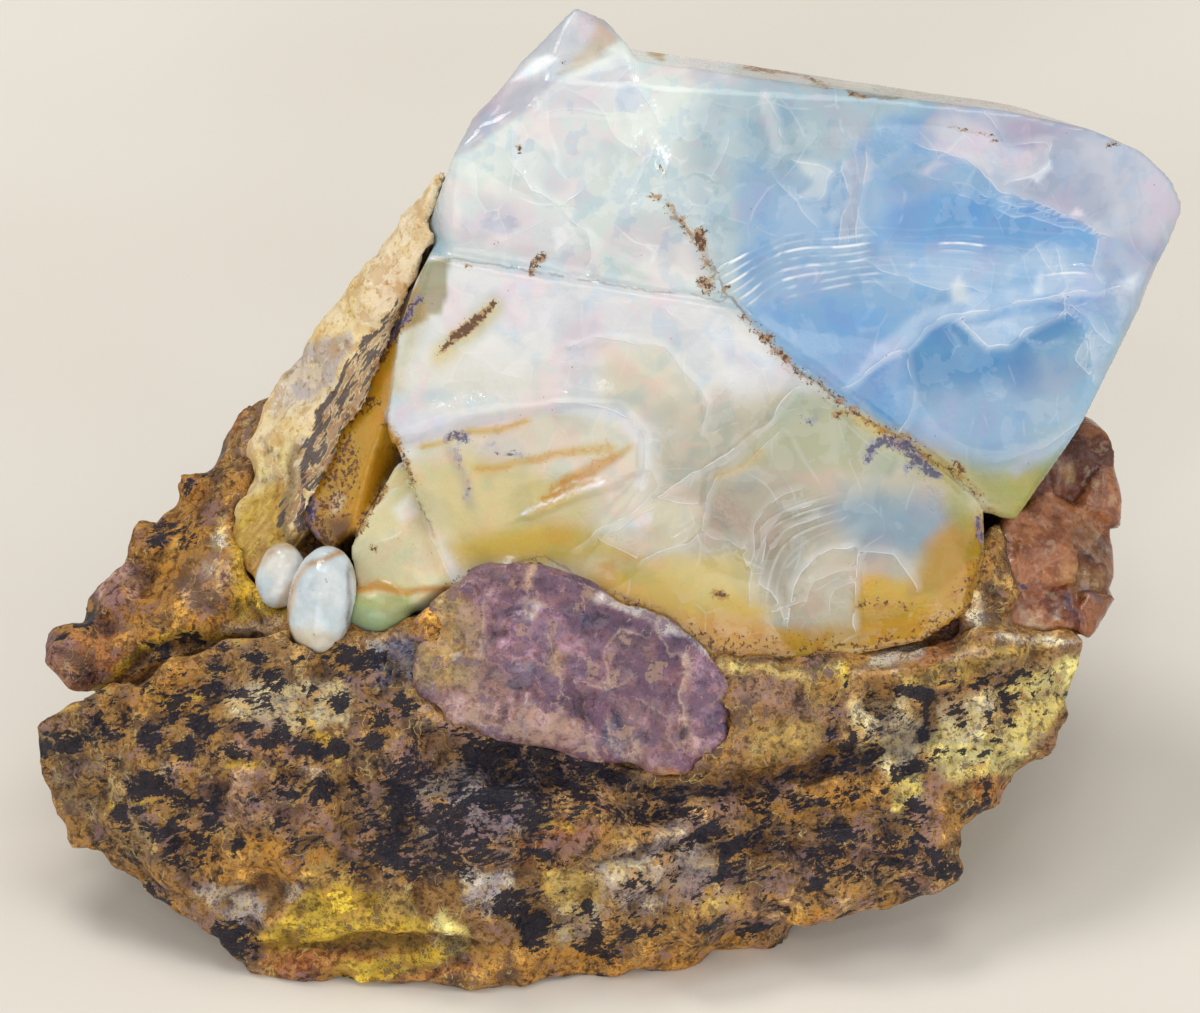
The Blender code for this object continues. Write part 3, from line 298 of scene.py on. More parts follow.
# Rust and soot on the opal, and broken inner parts: kind, strength, soft edge, half-width, points
OPAL_SPOTS = [
    ("rust", 1, 0.25, 0.5, [-124, 144, -117, 149]), ("rust", 0.85, 0.3, 0.45, [-118, 150, -105, 163]),
    ("rust", 0.8, 0.3, 0.35, [-108, 160, -94, 174]), ("rust", 0.75, 0.4, 0.25, [-137, 134, -123, 143]),
    ("rust", 0.8, 0.3, 0.3, [-56, 211, -49, 216]), ("rust", 0.7, 0.3, 0.25, [-59, 201, -55, 206]),
    ("rust", 0.8, 0.25, 0.15, [-114, 208, -112, 206]), ("rust", 0.75, 0.25, 0.15, [-69, 311, -68, 307]),
    ("rust", 0.7, 0.25, 0.12, [-91, 225, -88, 223]), ("rust", 0.65, 0.25, 0.2, [45, 265, 50, 264]),
    ("rust", 0.6, 0.25, 0.2, [52, 290, 55, 286]), ("rust", 0.5, 0.25, 0.12, [-30, 378, -24, 376]),
    ("rust", 0.8, 0.35, 0.35, [85, 235, 89, 220]), ("rust", 0.75, 0.4, 0.4, [86, 194, 91, 187]),
    ("rust", 0.6, 0.3, 0.2, [105, 186, 110, 189]), ("rust", 0.75, 0.3, 0.3, [51, 391, 63, 390]),
    ("rust", 0.6, 0.3, 0.2, [124, 376, 163, 371, 197, 359]), ("rust", 0.7, 0.3, 0.15, [216, 353, 226, 351]),
    ("rust", 0.6, 0.25, 0.12, [300, 325, 330, 319, 343, 315]), ("rust", 0.5, 0.3, 0.15, [433, 312, 454, 312]),
    ("rust", 0.75, 0.3, 0.25, [142, 142, 149, 144]), ("rust", 0.75, 0.3, 0.25, [154, 134, 163, 126]),
    ("rust", 0.6, 0.3, 0.3, [204, 77, 214, 81]), ("rust", 0.7, 0.3, 0.2, [237, 62, 245, 64]),
    ("rust", 0.7, 0.3, 0.2, [259, 60, 266, 57]), ("rust", 0.8, 0.3, 0.25, [306, 36, 311, 31]),
    ("rust", 0.45, 0.6, 0.35, [122, 165, 157, 127, 189, 102, 220, 78, 261, 55, 297, 33, 326, 10]),
    ("rust", 0.45, 0.5, 0.35, [58, 260, 77, 235, 91, 215, 96, 194]),
    ("rust", 0.5, 1, 0.5, [329, -7, 330, -46, 322, -84]), ("rust", 0.7, 0.3, 0.3, [99, -73, 108, -77]),
    ("rust", 0.6, 0.5, 0.5, [-123, -70, -86, -56]), ("rust", 0.5, 0.5, 0.3, [223, -85, 261, -84]),
    ("rust", 0.6, 0.4, 0.35, [-236, 48, -229, 42]), ("rust", 0.7, 0.4, 0.3, [-238, 23, -230, 24]),
    ("rust", 0.65, 0.4, 0.3, [-214, 31, -213, 26]), ("rust", 0.7, 0.4, 0.35, [-201, 81, -190, 90]),
    ("rust", 0.6, 0.5, 0.4, [-201, -5, -218, -33]), ("rust", 0.7, 0.4, 0.4, [-195, 2, -184, 16]),
    ("rust", 0.45, 0.5, 0.4, [-182, 70, -170, 47, -159, 21]), ("rust", 0.7, 0.3, 0.25, [-195, -33, -192, -36]),
    ("soot", 0.9, 0.35, 0.4, [228, 40, 233, 52, 245, 57, 255, 52]),
    ("soot", 0.95, 0.4, 0.5, [261, 52, 270, 42, 287, 28]), ("soot", 0.7, 0.4, 0.35, [270, 44, 264, 31]),
    ("soot", 0.8, 0.35, 0.4, [-130, 59, -122, 62, -115, 57]), ("soot", 0.5, 0.4, 0.25, [-86, 48, -64, 47]),
    ("soot", 0.45, 0.4, 0.3, [-123, 53, -118, 31, -113, 6]), ("soot", 0.45, 0.4, 0.2, [-90, 57, -77, 44]),
    ("soot", 0.8, 0.35, 0.3, [324, -10, 328, -29]), ("soot", 0.6, 0.4, 0.3, [171, 76, 182, 71]),
    ("soot", 0.9, 0.5, 0.5, [-257, 44, -255, 23, -247, -7]), ("soot", 0.85, 0.4, 0.5, [-252, -16, -242, -33]),
    ("soot", 0.6, 0.5, 0.4, [-173, 158, -201, 132, -223, 98]),
    ("soot", 0.85, 0.4, 0.3, [-154, 177, -189, 138, -214, 96]),
    ("rust", 0.75, 0.4, 0.35, [-159, 173, -184, 134, -213, 93]), ("rust", 0.7, 0.5, 0.5, [-214, 83, -236, 48]),
    ("rust", 0.75, 0.6, 0.6, [-243, -7, -231, -33]), ("rust", 0.6, 0.3, 0.3, [-227, 66, -219, 57]),
    ("rust", 0.6, 0.3, 0.3, [-223, 44, -206, 50]), ("rust", 0.55, 0.3, 0.25, [-233, 12, -219, 19]),
    ("rust", 0.7, 0.3, 0.2, [-233, 31, -219, 50]), ("rust", 0.7, 0.3, 0.25, [-213, 74, -195, 93]),
    ("rust", 0.5, 0.8, 0, [-240, 40, -214, 66, -204, 31, -219, -12, -242, -12]),
    ("rust", 0.34, 0.9, 0, [-34, -67, 34, -80, 86, -102, 154, -114, 214, -114, 261, -108, 304, -80, 321, -29,
     336, -46, 321, -89, 291, -119, 214, -142, 120, -138, 34, -102]),
    ("rust", 0.45, 0.6, 0.5, [-124, -67, -103, -56, -51, -48]),
    ("rust", 0.5, 0.5, 0.5, [231, -127, 283, -114, 321, -80]),
    ("veil", 0.8, 2.5, 0, [-103, 323, 0, 374, 103, 357, 116, 228, 86, 186, 0, 194, -120, 228]),
    ("veil", 0.3, 2, 0, [-137, 203, 120, 160, 309, 23, 257, -46, 17, -29, -154, 74]),
    ("veil", 0.35, 2, 0, [120, 348, 471, 331, 497, 228, 394, 57, 309, 40, 120, 177]),
    ("veil", 0.45, 2, 0, [120, 31, 231, 23, 240, -29, 214, -80, 137, -80, 51, -29, 77, 14]),
    ("veil", 0.5, 2, 0, [386, 203, 471, 228, 454, 160, 429, 108, 394, 143]),
    ("veil", 0.4, 2, 0, [0, 66, 86, 108, 163, 91, 86, 23]),
    ("veil", 0.55, 1, 0, [-124, -46, -34, -46, 34, -63, 120, -97, 223, -110, 304, -72, 330, -29, 330, -80, 291,
     -119, 223, -138, 120, -136, 0, -89, -86, -59]),
    ("veil", 0.5, 2, 0, [118, 357, 223, 357, 223, 237, 118, 237]),
]
# Where the shell-shaped ribs catch the light: strength, soft edge, half-width, points
OPAL_GLINTS = [
    (0.1, 3, 0, [116, 233, 231, 241, 394, 235, 411, 190, 240, 177, 124, 173]),
    (1, 0.7, 0, [151, 223, 225, 235, 233, 210, 171, 198, 154, 203]),
    (1, 0.5, 0, [101, 210, 122, 222, 139, 186, 129, 174, 110, 184]), (0.8, 0.3, 0.5, [161, 210, 163, 177]),
    (0.9, 0.5, 0.4, [195, 191, 235, 199]), (1, 0.4, 0.6, [298, 224, 323, 225]),
    (0.7, 0.5, 0.5, [384, 199, 416, 201]),
    (0.6, 1.5, 0, [133, -72, 141, -12, 171, 14, 201, 1, 197, -33, 171, -50, 159, -80]),
]
# Pale hairlines inside the opal, lit on their left side: strength, points
OPAL_VEILS = [
    (0.9, [-75, 323, -75, 297, -65, 283, -46, 264, -34, 256]), (0.6, [-34, 256, -21, 267, -10, 276]),
    (1, [-65, 285, -58, 273, -44, 264]), (0.9, [-34, 256, -19, 241, -9, 228, -6, 213, -15, 201]),
    (0.8, [-6, 211, -17, 199, -34, 201]), (1, [25, 387, 34, 357, 47, 330]), (0.6, [3, 360, 15, 367, 23, 376]),
    (0.5, [13, 342, 12, 323]), (0.5, [-47, 338, -21, 342, 0, 338]), (0.4, [-103, 220, -69, 232, -47, 250]),
    (0.6, [96, 283, 105, 297, 109, 318]), (0.5, [56, 275, 86, 287, 99, 283]), (0.4, [31, 270, 39, 293, 47, 306]),
    (0.9, [62, 256, 77, 242, 86, 228, 96, 210]), (0.6, [139, 353, 150, 338, 157, 314, 157, 301, 147, 304]),
    (0.6, [167, 297, 201, 287, 194, 282, 187, 264, 171, 268]), (0.6, [230, 306, 225, 276, 220, 232]),
    (0.5, [210, 295, 212, 267, 206, 232]), (0.4, [146, 284, 171, 263, 184, 241]),
    (0.8, [446, 189, 394, 182, 343, 173, 302, 163, 281, 153, 253, 132, 213, 103]),
    (0.9, [396, 166, 362, 150, 351, 138, 334, 138, 321, 150, 304, 162]),
    (0.6, [261, 132, 267, 104, 266, 78, 257, 64]), (0.6, [273, 312, 313, 300, 343, 270, 394, 252, 437, 233]),
    (0.7, [351, 275, 386, 293, 387, 310]), (0.5, [330, 338, 351, 309, 384, 314]),
    (0.6, [394, 220, 399, 168, 420, 143, 424, 108]), (0.5, [429, 235, 420, 203, 441, 177]),
    (0.5, [377, 220, 394, 186, 437, 138]), (0.6, [416, 147, 407, 126, 420, 113]),
    (0.5, [223, 210, 274, 190, 326, 186]), (0.4, [343, 38, 369, 44, 399, 66, 418, 74]),
    (0.4, [330, 266, 377, 252, 429, 240]), (0.4, [309, 265, 369, 247, 424, 235]),
    (0.7, [-21, 136, 0, 147, 34, 138, 53, 136, 77, 113, 91, 91, 88, 66]),
    (0.4, [-137, 151, -107, 124, -69, 108]), (0.9, [-39, 89, -4, 89, 21, 77, 38, 57, 42, 36, 34, 18]),
    (0.6, [41, 36, 47, 18, 34, 1, 0, -20, -21, -36]), (0.8, [167, 102, 147, 76, 120, 57, 86, 31, 47, 7]),
    (0.5, [154, 64, 137, 47, 103, 26, 90, 6]), (0.6, [47, 6, 90, 3, 87, -20, 77, -31, 56, -37, 34, -46]),
    (0.5, [87, -20, 120, -36, 124, -54]), (0.5, [56, 170, 77, 151, 96, 150, 107, 162, 90, 168]),
    (0.4, [77, 151, 120, 143, 150, 136]), (1, [161, -99, 164, -73, 174, -54, 193, -39, 220, -34]),
    (0.9, [221, -34, 220, -72, 219, -102]), (0.7, [225, -36, 250, -42, 264, -56, 271, -70]),
    (0.7, [141, -48, 146, -22, 159, -5, 182, 3]), (0.6, [150, -36, 163, -18, 187, -9]),
    (0.5, [130, -46, 135, -16, 150, 6, 171, 16]), (0.7, [137, -67, 150, -80, 161, -99]),
    (0.5, [124, -33, 130, -59, 129, -80]), (0.5, [146, -90, 171, -80]), (0.5, [176, -80, 184, -63, 214, -54]),
    (0.4, [197, -89, 201, -72, 220, -63]), (0.5, [0, -29, 34, -46]), (0.6, [15, -20, 31, -6, 45, -3]),
    (0.6, [-161, 23, -176, 14, -201, -5]), (0.5, [-161, 23, -146, -20, -124, -67]),
    (0.4, [-213, -46, -189, -29, -163, -20]),
]
# Stained hairlines, with painted shade on one side of each: strength, points
OPAL_SEAMS = [
    (0.5, [-129, 214, -103, 210, -51, 201, 3, 191, 43, 185, 86, 178, 105, 175]),
    (0.75, [96, 210, 105, 186, 122, 167, 157, 127, 189, 102, 220, 78, 261, 55, 297, 33, 319, 14, 324, -12]),
    (0.6, [56, 260, 77, 235, 90, 218, 96, 198]), (0.7, [120, 378, 171, 369, 223, 353, 257, 350]),
    (0.8, [321, -7, 326, -33, 321, -63, 313, -80]), (0.4, [-183, 74, -170, 47, -159, 23]),
    (0.6, [-218, -33, -217, -80, -216, -114]), (0.6, [-201, -5, -213, -24]),
    (0.6, [-124, -72, -103, -53, -51, -42, 0, -70, 43, -89, 86, -118, 120, -132, 171, -135, 214, -130, 257,
     -118, 300, -109]),
]
# Orange threads of iron in the opal: strength, points
OPAL_STREAKS = [
    (0.9, [-34, -65, 17, -80, 77, -109, 120, -123, 171, -126, 223, -120, 274, -106, 313, -78]),
    (0.8, [34, -77, 86, -96, 137, -106, 171, -114]), (0.8, [230, -104, 266, -97, 300, -80, 321, -46]),
    (1, [-47, 7, -26, 24, 0, 40, 24, 51]), (0.8, [-41, 16, -9, 33, 19, 49]), (0.7, [-103, 30, -51, 42, 10, 52]),
    (0.6, [-60, -6, -34, 5, -9, 23]), (0.7, [225, -87, 257, -85, 279, -80]), (0.6, [225, -81, 261, -83]),
    (0.7, [86, -110, 120, -119, 154, -116]), (0.6, [-150, 52, -111, 64, -64, 73]),
    (0.7, [-4, -73, 34, -82, 86, -109]), (0.5, [103, 26, 137, 45]), (0.6, [223, 74, 261, 51, 309, 27]),
    (0.7, [-214, -72, -192, -66, -163, -73]),
]
# Tints of the host rock
ROCK_TINTS = [
    ("russet", 0.8, 1.4, 0, [-489, -123, -429, -72, -386, -12, -343, 48, -266, 143, -257, 66, -309, 31, -330,
     -46, -360, -80, -420, -157, -480, -166]),
    ("drab", 0.8, 0.6, 0, [-321, 57, -296, 91, -266, 134, -287, 74, -309, 31, -330, -29, -343, -29]),
    ("orange", 0.8, 1, 0, [-403, -54, -330, -12, -309, -46, -266, -46, -270, -102, -343, -110, -394, -123,
     -420, -114]),
    ("honey_brown", 0.65, 1.2, 0, [-433, -76, -386, -12, -343, 48, -315, 70, -315, 6, -330, -46, -386, -63]),
    ("gold", 0.9, 0.6, 0, [-319, -33, -290, -29, -264, -80, -270, -99, -313, -96]),
    ("mauve", 0.9, 0.4, 0, [-441, -84, -429, -59, -403, -46, -387, -59, -394, -80, -429, -85]),
    ("mauve", 0.8, 0.4, 0, [-485, -123, -471, -104, -450, -121, -433, -149, -463, -159, -482, -142]),
    ("clay", 0.8, 0.5, 0, [-363, -73, -343, -46, -312, -46, -315, -80, -343, -94]),
    ("peach", 0.85, 0.3, 0, [-346, -108, -274, -94, -268, -102, -300, -114, -339, -120]),
    ("chalk", 0.9, 0.15, 0, [-333, -24, -321, -21, -321, -36, -329, -38]),
    ("chalk", 0.8, 0.15, 0, [-341, -51, -333, -48, -333, -57, -339, -58]),
    ("sand", 0.6, 0.4, 0.4, [-324, -12, -327, -33, -336, -54]),
    ("umber", 0.7, 0.5, 0, [-450, -90, -420, -82, -420, -108, -446, -114]),
    ("gold", 0.95, 0.25, 0.4, [-435, -159, -407, -136, -386, -116, -343, -108, -309, -116]),
    ("orange", 0.8, 0.8, 0, [-411, -170, -377, -123, -334, -127, -343, -166, -386, -187]),
    ("drab", 0.7, 1, 0, [-492, -192, -437, -166, -386, -252, -377, -312, -411, -294, -471, -252]),
    ("loam", 0.6, 1, 0, [-480, -183, -420, -166, -403, -217, -463, -217]),
    ("clay", 0.85, 0.5, 0, [-315, -224, -283, -221, -264, -243, -266, -270, -309, -279, -331, -253]),
    ("peach", 0.8, 0.2, 0, [-377, -217, -360, -219, -362, -233, -377, -230]),
    ("peach", 0.7, 0.2, 0, [-274, -209, -238, -226, -249, -234, -270, -220]),
    ("sand", 0.75, 0.5, 0, [-326, -157, -290, -152, -214, -147, -216, -185, -257, -193, -317, -179]),
    ("gold", 0.9, 0.2, 0.25, [-257, -176, -240, -198, -221, -217]),
    ("gold", 0.9, 0.2, 0.2, [-321, -221, -290, -222]),
    ("gold", 0.9, 0.2, 0.2, [-418, -257, -386, -252, -372, -249]),
    ("gold", 0.8, 0.2, 0.3, [-312, -288, -290, -294, -274, -291]),
    ("gold", 0.8, 0.2, 0.2, [-386, -157, -369, -166, -343, -164]),
    ("ochre", 0.8, 0.3, 0.3, [-463, -174, -420, -157]),
    ("rosy", 0.75, 0.5, 0, [-313, -185, -257, -196, -261, -219, -317, -210]),
    ("rosy", 0.7, 0.6, 0, [-343, -226, -326, -234, -321, -277, -347, -269]),
    ("orange", 0.8, 0.7, 0, [-321, -286, -257, -282, -231, -303, -257, -322, -326, -320, -347, -305]),
    ("ash", 0.9, 0.25, 0, [-350, -330, -330, -324, -304, -327, -285, -342, -295, -360, -330, -351]),
    ("ash", 0.85, 0.25, 0, [-271, -325, -252, -324, -255, -341, -269, -339]),
    ("ash", 0.7, 0.3, 0, [-324, -342, -290, -337, -290, -359, -309, -359]),
    ("gold", 1, 0.4, 0, [-296, -372, -257, -333, -223, -320, -171, -342, -144, -361, -154, -377, -231, -378,
     -279, -382]), ("ochre", 0.7, 0.5, 0, [-257, -312, -219, -303, -206, -324, -240, -329]),
    ("gold", 1, 0.3, 0, [-236, -396, -206, -382, -146, -377, -107, -378, -154, -396, -214, -413]),
    ("russet", 0.85, 0.4, 0, [-293, -378, -223, -379, -150, -379, -219, -390, -240, -410, -283, -397]),
    ("umber", 0.7, 0.3, 0.3, [-231, -378, -189, -373, -146, -370]),
    ("russet", 0.7, 0.3, 0.45, [-171, -410, -137, -397, -90, -390]),
    ("lemon", 1, 0.15, 0, [-146, -354, -132, -347, -115, -363, -112, -378, -127, -385, -137, -377]),
    ("ochre", 0.9, 0.3, 0, [-195, -329, -154, -333, -159, -350, -182, -356]),
    ("clay", 0.9, 0.4, 0, [-124, -286, -77, -290, -81, -312, -113, -312]),
    ("ash", 0.95, 0.25, 0, [-122, -312, -75, -312, -72, -342, -101, -351, -118, -334]),
    ("ochre", 0.95, 0.3, 0, [-49, -312, 2, -315, -2, -342, -34, -347, -53, -329]),
    ("ash", 0.65, 0.8, 0, [-9, -301, 86, -284, 105, -305, 86, -337, 34, -348, 0, -329]),
    ("ash", 0.95, 0.25, 0, [45, -276, 77, -264, 75, -290, 47, -296]),
    ("sand", 0.6, 0.5, 0, [0, -307, 34, -301, 43, -320, 9, -324]),
    ("orange", 0.8, 0.5, 0, [-63, -240, 0, -234, 19, -247, -9, -267, -51, -258]),
    ("russet", 0.8, 0.5, 0, [-70, -288, -34, -264, 2, -277, -34, -296, -69, -310]),
    ("gold", 0.7, 0.2, 0.25, [-47, -273, -21, -276]),
    ("sand", 0.6, 0.6, 0, [-39, -342, 2, -337, 2, -373, -34, -380]),
    ("orange", 0.8, 0.8, 0, [-111, -380, 34, -372, 122, -363, 139, -380, 69, -402, -34, -410, -103, -402]),
    ("clay", 0.65, 1, 0, [86, -322, 171, -310, 163, -363, 103, -365]),
    ("ochre", 0.85, 0.4, 0, [86, -329, 120, -324, 120, -346, 90, -348]),
    ("orange", 0.9, 0.4, 0, [159, -350, 190, -339, 210, -368, 171, -373]),
    ("peach", 0.8, 0.25, 0, [194, -339, 214, -331, 216, -347]),
    ("rosy", 0.7, 0.6, 0, [137, -294, 223, -284, 261, -303, 189, -313]),
    ("mauve", 0.7, 0.4, 0, [261, -312, 283, -320, 300, -337, 274, -342, 257, -329]),
    ("sand", 0.85, 0.5, 0, [214, -170, 261, -164, 276, -192, 270, -222, 244, -230, 219, -209]),
    ("lemon", 0.9, 0.5, 0, [279, -196, 309, -168, 377, -138, 416, -127, 416, -157, 377, -196, 351, -230, 300,
     -236, 279, -222]), ("straw", 0.7, 0.6, 0, [326, -166, 394, -157, 377, -183, 334, -192]),
    ("ochre", 0.8, 0.5, 0, [257, -133, 309, -123, 394, -114, 343, -138, 291, -157, 257, -157]),
    ("sand", 0.8, 0.4, 0, [291, -170, 321, -157, 343, -166, 326, -200, 296, -204]),
    ("lemon", 0.9, 0.35, 0, [244, -236, 273, -228, 279, -252, 253, -267]),
    ("chalk", 0.9, 0.15, 0, [230, -125, 276, -118, 278, -129, 230, -139]),
    ("peach", 0.8, 0.25, 0.3, [223, -144, 257, -140, 291, -129, 334, -125]),
    ("chalk", 0.8, 0.2, 0.25, [343, -112, 386, -116, 418, -113]),
    ("drab", 0.7, 0.4, 0, [231, -108, 283, -102, 283, -119, 230, -123]),
    ("orange", 0.85, 0.4, 0, [204, -116, 231, -106, 242, -123, 214, -135, 199, -152]),
    ("gold", 0.95, 0.2, 0, [197, -142, 214, -133, 215, -149, 202, -154]),
    ("russet", 0.8, 0.4, 0, [291, -114, 309, -114, 283, -140, 257, -138]),
    ("mauve", 0.85, 0.4, 0, [291, -90, 322, -72, 310, -114, 295, -116]),
    ("chalk", 0.85, 0.2, 0, [310, -70, 330, -73, 330, -99, 315, -102]),
    ("russet", 0.8, 0.5, 0, [319, -234, 346, -230, 348, -253, 319, -262]),
    ("orange", 0.7, 0.8, 0, [283, -239, 321, -239, 313, -277, 283, -299]),
    ("rosy", 0.6, 0.6, 0, [279, -217, 296, -226, 291, -252, 279, -252]),
    ("clay", 0.8, 0.8, 0, [113, -147, 197, -138, 213, -166, 190, -200, 118, -207]),
    ("ochre", 0.85, 0.5, 0, [168, -150, 211, -142, 202, -173, 178, -169]),
    ("ochre", 0.7, 0.7, 0, [120, -185, 190, -176, 199, -210, 135, -221]),
    ("straw", 0.9, 0.25, 0.4, [99, -135, 137, -139, 171, -145, 207, -138]),
    ("umber", 0.7, 0.3, 0.3, [99, -129, 137, -132, 197, -126]),
    ("orange", 0.6, 1, 0, [120, -228, 199, -217, 261, -243, 199, -279, 120, -253]),
    ("clay", 0.5, 1, 0, [0, -252, 122, -243, 122, -277, 34, -279]),
    ("orange", 0.9, 0.4, 0, [-167, -80, -111, -68, -101, -123, -127, -150, -159, -123]),
    ("peach", 0.6, 0.4, 0, [-168, -171, -111, -162, -67, -171, -111, -193, -156, -189]),
    ("rosy", 0.7, 0.6, 0, [-171, -200, -137, -192, -154, -252, -180, -243]),
    ("slate", 0.85, 0.7, 0, [-197, -114, -154, -110, -156, -149, -195, -157]),
    # The next two entries paint the shade of the recess under the purple patch and of the crease at its foot, over the
    # rock's own dark colour.
    ("recess_dark_and_shade", 0.42, 1.6, 0, [-195, -217, -146, -202, -103, -185, -51, -185, -9, -204, 34, -239, 0, -252, -34,
     -277, -111, -320, -189, -312, -214, -260]),
    ("recess_dark_and_shade", 0.6, 0.8, 0.8, [0, -228, 43, -245, 103, -246, 171, -232, 240, -210, 283, -196]),
    ("slate", 0.6, 0.8, 0, [-171, -243, -111, -217, -51, -234, -69, -277, -146, -286]),
    ("umber", 0.55, 1, 0, [77, -279, 223, -270, 296, -294, 261, -324, 137, -324, 86, -308]),
    ("clay", 0.6, 0.5, 0, [-154, -252, -129, -243, -124, -269, -150, -277]),
]
# Where the black manganese skin lies on the rock, in the recess under the purple patch partly as painted shade: kind,
# strength, soft edge, half-width, points
ROCK_SPOTS = [
    ("clean", 0.9, 1.5, 0, [201, -157, 231, -114, 309, -106, 420, -114, 416, -157, 351, -234, 291, -243, 257,
     -226]),
    ("clean", 0.9, 0.8, 0, [-296, -372, -257, -320, -214, -307, -103, -337, -103, -380, -154, -410, -231,
     -414]), ("clean", 0.7, 1.2, 0, [-317, -157, -214, -140, -214, -192, -309, -192]),
    ("clean", 0.8, 0.6, 0, [-350, -327, -304, -324, -252, -324, -285, -354, -330, -354]),
    ("clean", 0.8, 0.6, 0, [-124, -282, 0, -303, 105, -286, 105, -320, -34, -350, -103, -346]),
    ("clean", 0.7, 1, 0, [103, -132, 214, -132, 206, -217, 120, -222]),
    ("clean", 0.7, 1, 0, [-433, -157, -386, -114, -257, -93, -257, -123, -343, -166, -403, -183]),
    ("tar", 0.13, 3, 0, [-471, -200, -429, -157, -300, -114, -231, -123, -154, -123, -146, -200, -189, -320,
     -291, -303, -411, -303]),
    ("tar", 0.13, 2, 0, [-103, -294, 86, -286, 257, -243, 309, -303, 283, -337, 137, -372, -34, -389, -103,
     -363]),
    ("tar", 0.12, 1.5, 0, [197, -166, 291, -149, 394, -132, 394, -166, 326, -226, 257, -294, 206, -252]),
    # These three put black skin in the recess under the purple patch and along the crease at its foot, partly standing
    # for the shade there.
    ("tar", 0.58, 2, 0, [-195, -217, -146, -202, -103, -185, -51, -185, -9, -204, 34, -239, 0, -252, -34, -277,
     -111, -320, -171, -320, -206, -286]),
    ("tar", 0.72, 0.6, 0.6, [0, -228, 43, -245, 103, -246, 171, -232, 240, -210]),
    ("tar", 0.55, 0.8, 0.8, [-34, -243, 17, -262, 86, -264, 146, -252, 214, -247]),
    ("tar", 0.9, 0.3, 0.12, [214, -142, 204, -166, 201, -196, 194, -217]),
    ("tar", 0.9, 0.3, 0.5, [189, -224, 214, -202]), ("tar", 0.9, 0.3, 0.17, [219, -230, 233, -224]),
    ("tar", 0.95, 0.3, 0.55, [257, -157, 279, -162]), ("tar", 1, 0.3, 0.28, [280, -166, 276, -200]),
    ("tar", 0.9, 0.3, 0.19, [281, -196, 296, -180, 309, -174]), ("tar", 0.85, 0.2, 0.14, [293, -163, 321, -150]),
    ("tar", 0.85, 0.2, 0.11, [317, -152, 343, -142]), ("tar", 0.85, 0.2, 0.11, [330, -157, 353, -145]),
    ("tar", 0.9, 0.2, 0.17, [346, -149, 367, -142]), ("tar", 0.9, 0.2, 0.22, [343, -161, 345, -176]),
    ("tar", 0.85, 0.2, 0.17, [346, -183, 357, -190]), ("tar", 0.85, 0.2, 0.17, [365, -180, 384, -175]),
    ("tar", 0.95, 0.25, 0.22, [386, -168, 396, -161]), ("tar", 0.85, 0.2, 0.11, [334, -202, 345, -198]),
    ("tar", 0.95, 0.25, 0.22, [327, -214, 333, -209]), ("tar", 1, 0.25, 0.28, [307, -212, 314, -209]),
    ("tar", 0.85, 0.2, 0.17, [290, -210, 298, -212]), ("tar", 0.85, 0.2, 0.11, [343, -213, 348, -214]),
    ("tar", 0.85, 0.2, 0.17, [303, -188, 314, -185]), ("tar", 0.85, 0.2, 0.14, [369, -164, 374, -159]),
    ("tar", 0.8, 0.2, 0.14, [329, -180, 336, -176]), ("tar", 0.75, 0.2, 0.11, [351, -166, 363, -171]),
    ("tar", 0.75, 0.2, 0.08, [300, -142, 326, -132]), ("tar", 0.75, 0.2, 0.08, [283, -156, 309, -145]),
    ("tar", 0.95, 0.3, 0.8, [253, -231, 267, -224]), ("tar", 0.85, 0.3, 0.22, [243, -240, 247, -253]),
    ("tar", 0.9, 0.3, 0.22, [264, -253, 274, -262]), ("tar", 0.9, 0.3, 0.6, [276, -284, 286, -296]),
    ("tar", 0.95, 0.3, 0.9, [285, -310, 300, -315]), ("tar", 0.95, 0.3, 0.22, [329, -234, 331, -253]),
    ("tar", 0.9, 0.3, 0.22, [310, -264, 330, -258]), ("tar", 0.9, 0.3, 0.6, [189, -279, 214, -279]),
    ("tar", 0.9, 0.3, 0.28, [223, -303, 257, -305]), ("tar", 0.85, 0.3, 0.28, [261, -320, 271, -334]),
    ("tar", 0.95, 0.3, 0.28, [206, -353, 219, -346]), ("tar", 0.9, 0.3, 0.22, [231, -342, 243, -336]),
    ("tar", 0.85, 0.3, 0.4, [180, -329, 197, -320]), ("tar", 0.8, 0.4, 0.4, [154, -294, 214, -293]),
    ("tar", 0.4, 1, 0, [86, -277, 223, -270, 296, -294, 261, -324, 137, -324, 86, -308]),
    ("tar", 0.9, 0.3, 0.6, [75, -288, 96, -276]), ("tar", 0.95, 0.3, 0.9, [108, -294, 130, -282]),
    ("tar", 0.9, 0.3, 0.4, [105, -305, 101, -320]), ("tar", 0.85, 0.3, 0.5, [146, -288, 156, -296]),
    ("tar", 0.8, 0.3, 0.4, [86, -324, 103, -318]), ("tar", 0.7, 0.3, 0.3, [17, -324, 39, -320]),
    ("tar", 0.75, 0.3, 0.35, [34, -316, 43, -327]), ("tar", 0.95, 0.4, 1.4, [-81, -342, -56, -359]),
    ("tar", 0.9, 0.4, 0.8, [-60, -372, -47, -380]), ("tar", 0.8, 0.4, 0.6, [-9, -342, 0, -372]),
    ("tar", 0.85, 0.4, 0.5, [-21, -376, 9, -384]), ("tar", 0.75, 0.3, 0.4, [21, -367, 56, -359]),
    ("tar", 0.8, 0.3, 0.5, [86, -363, 103, -354]), ("tar", 0.8, 0.3, 0.5, [116, -365, 141, -359]),
    ("tar", 0.7, 0.3, 0.3, [47, -404, 62, -402]), ("tar", 0.8, 0.3, 0.3, [-69, -290, -34, -305]),
    ("tar", 0.8, 0.4, 0.6, [-111, -320, -137, -303]), ("tar", 0.7, 0.4, 0.25, [0, -303, 77, -294]),
]
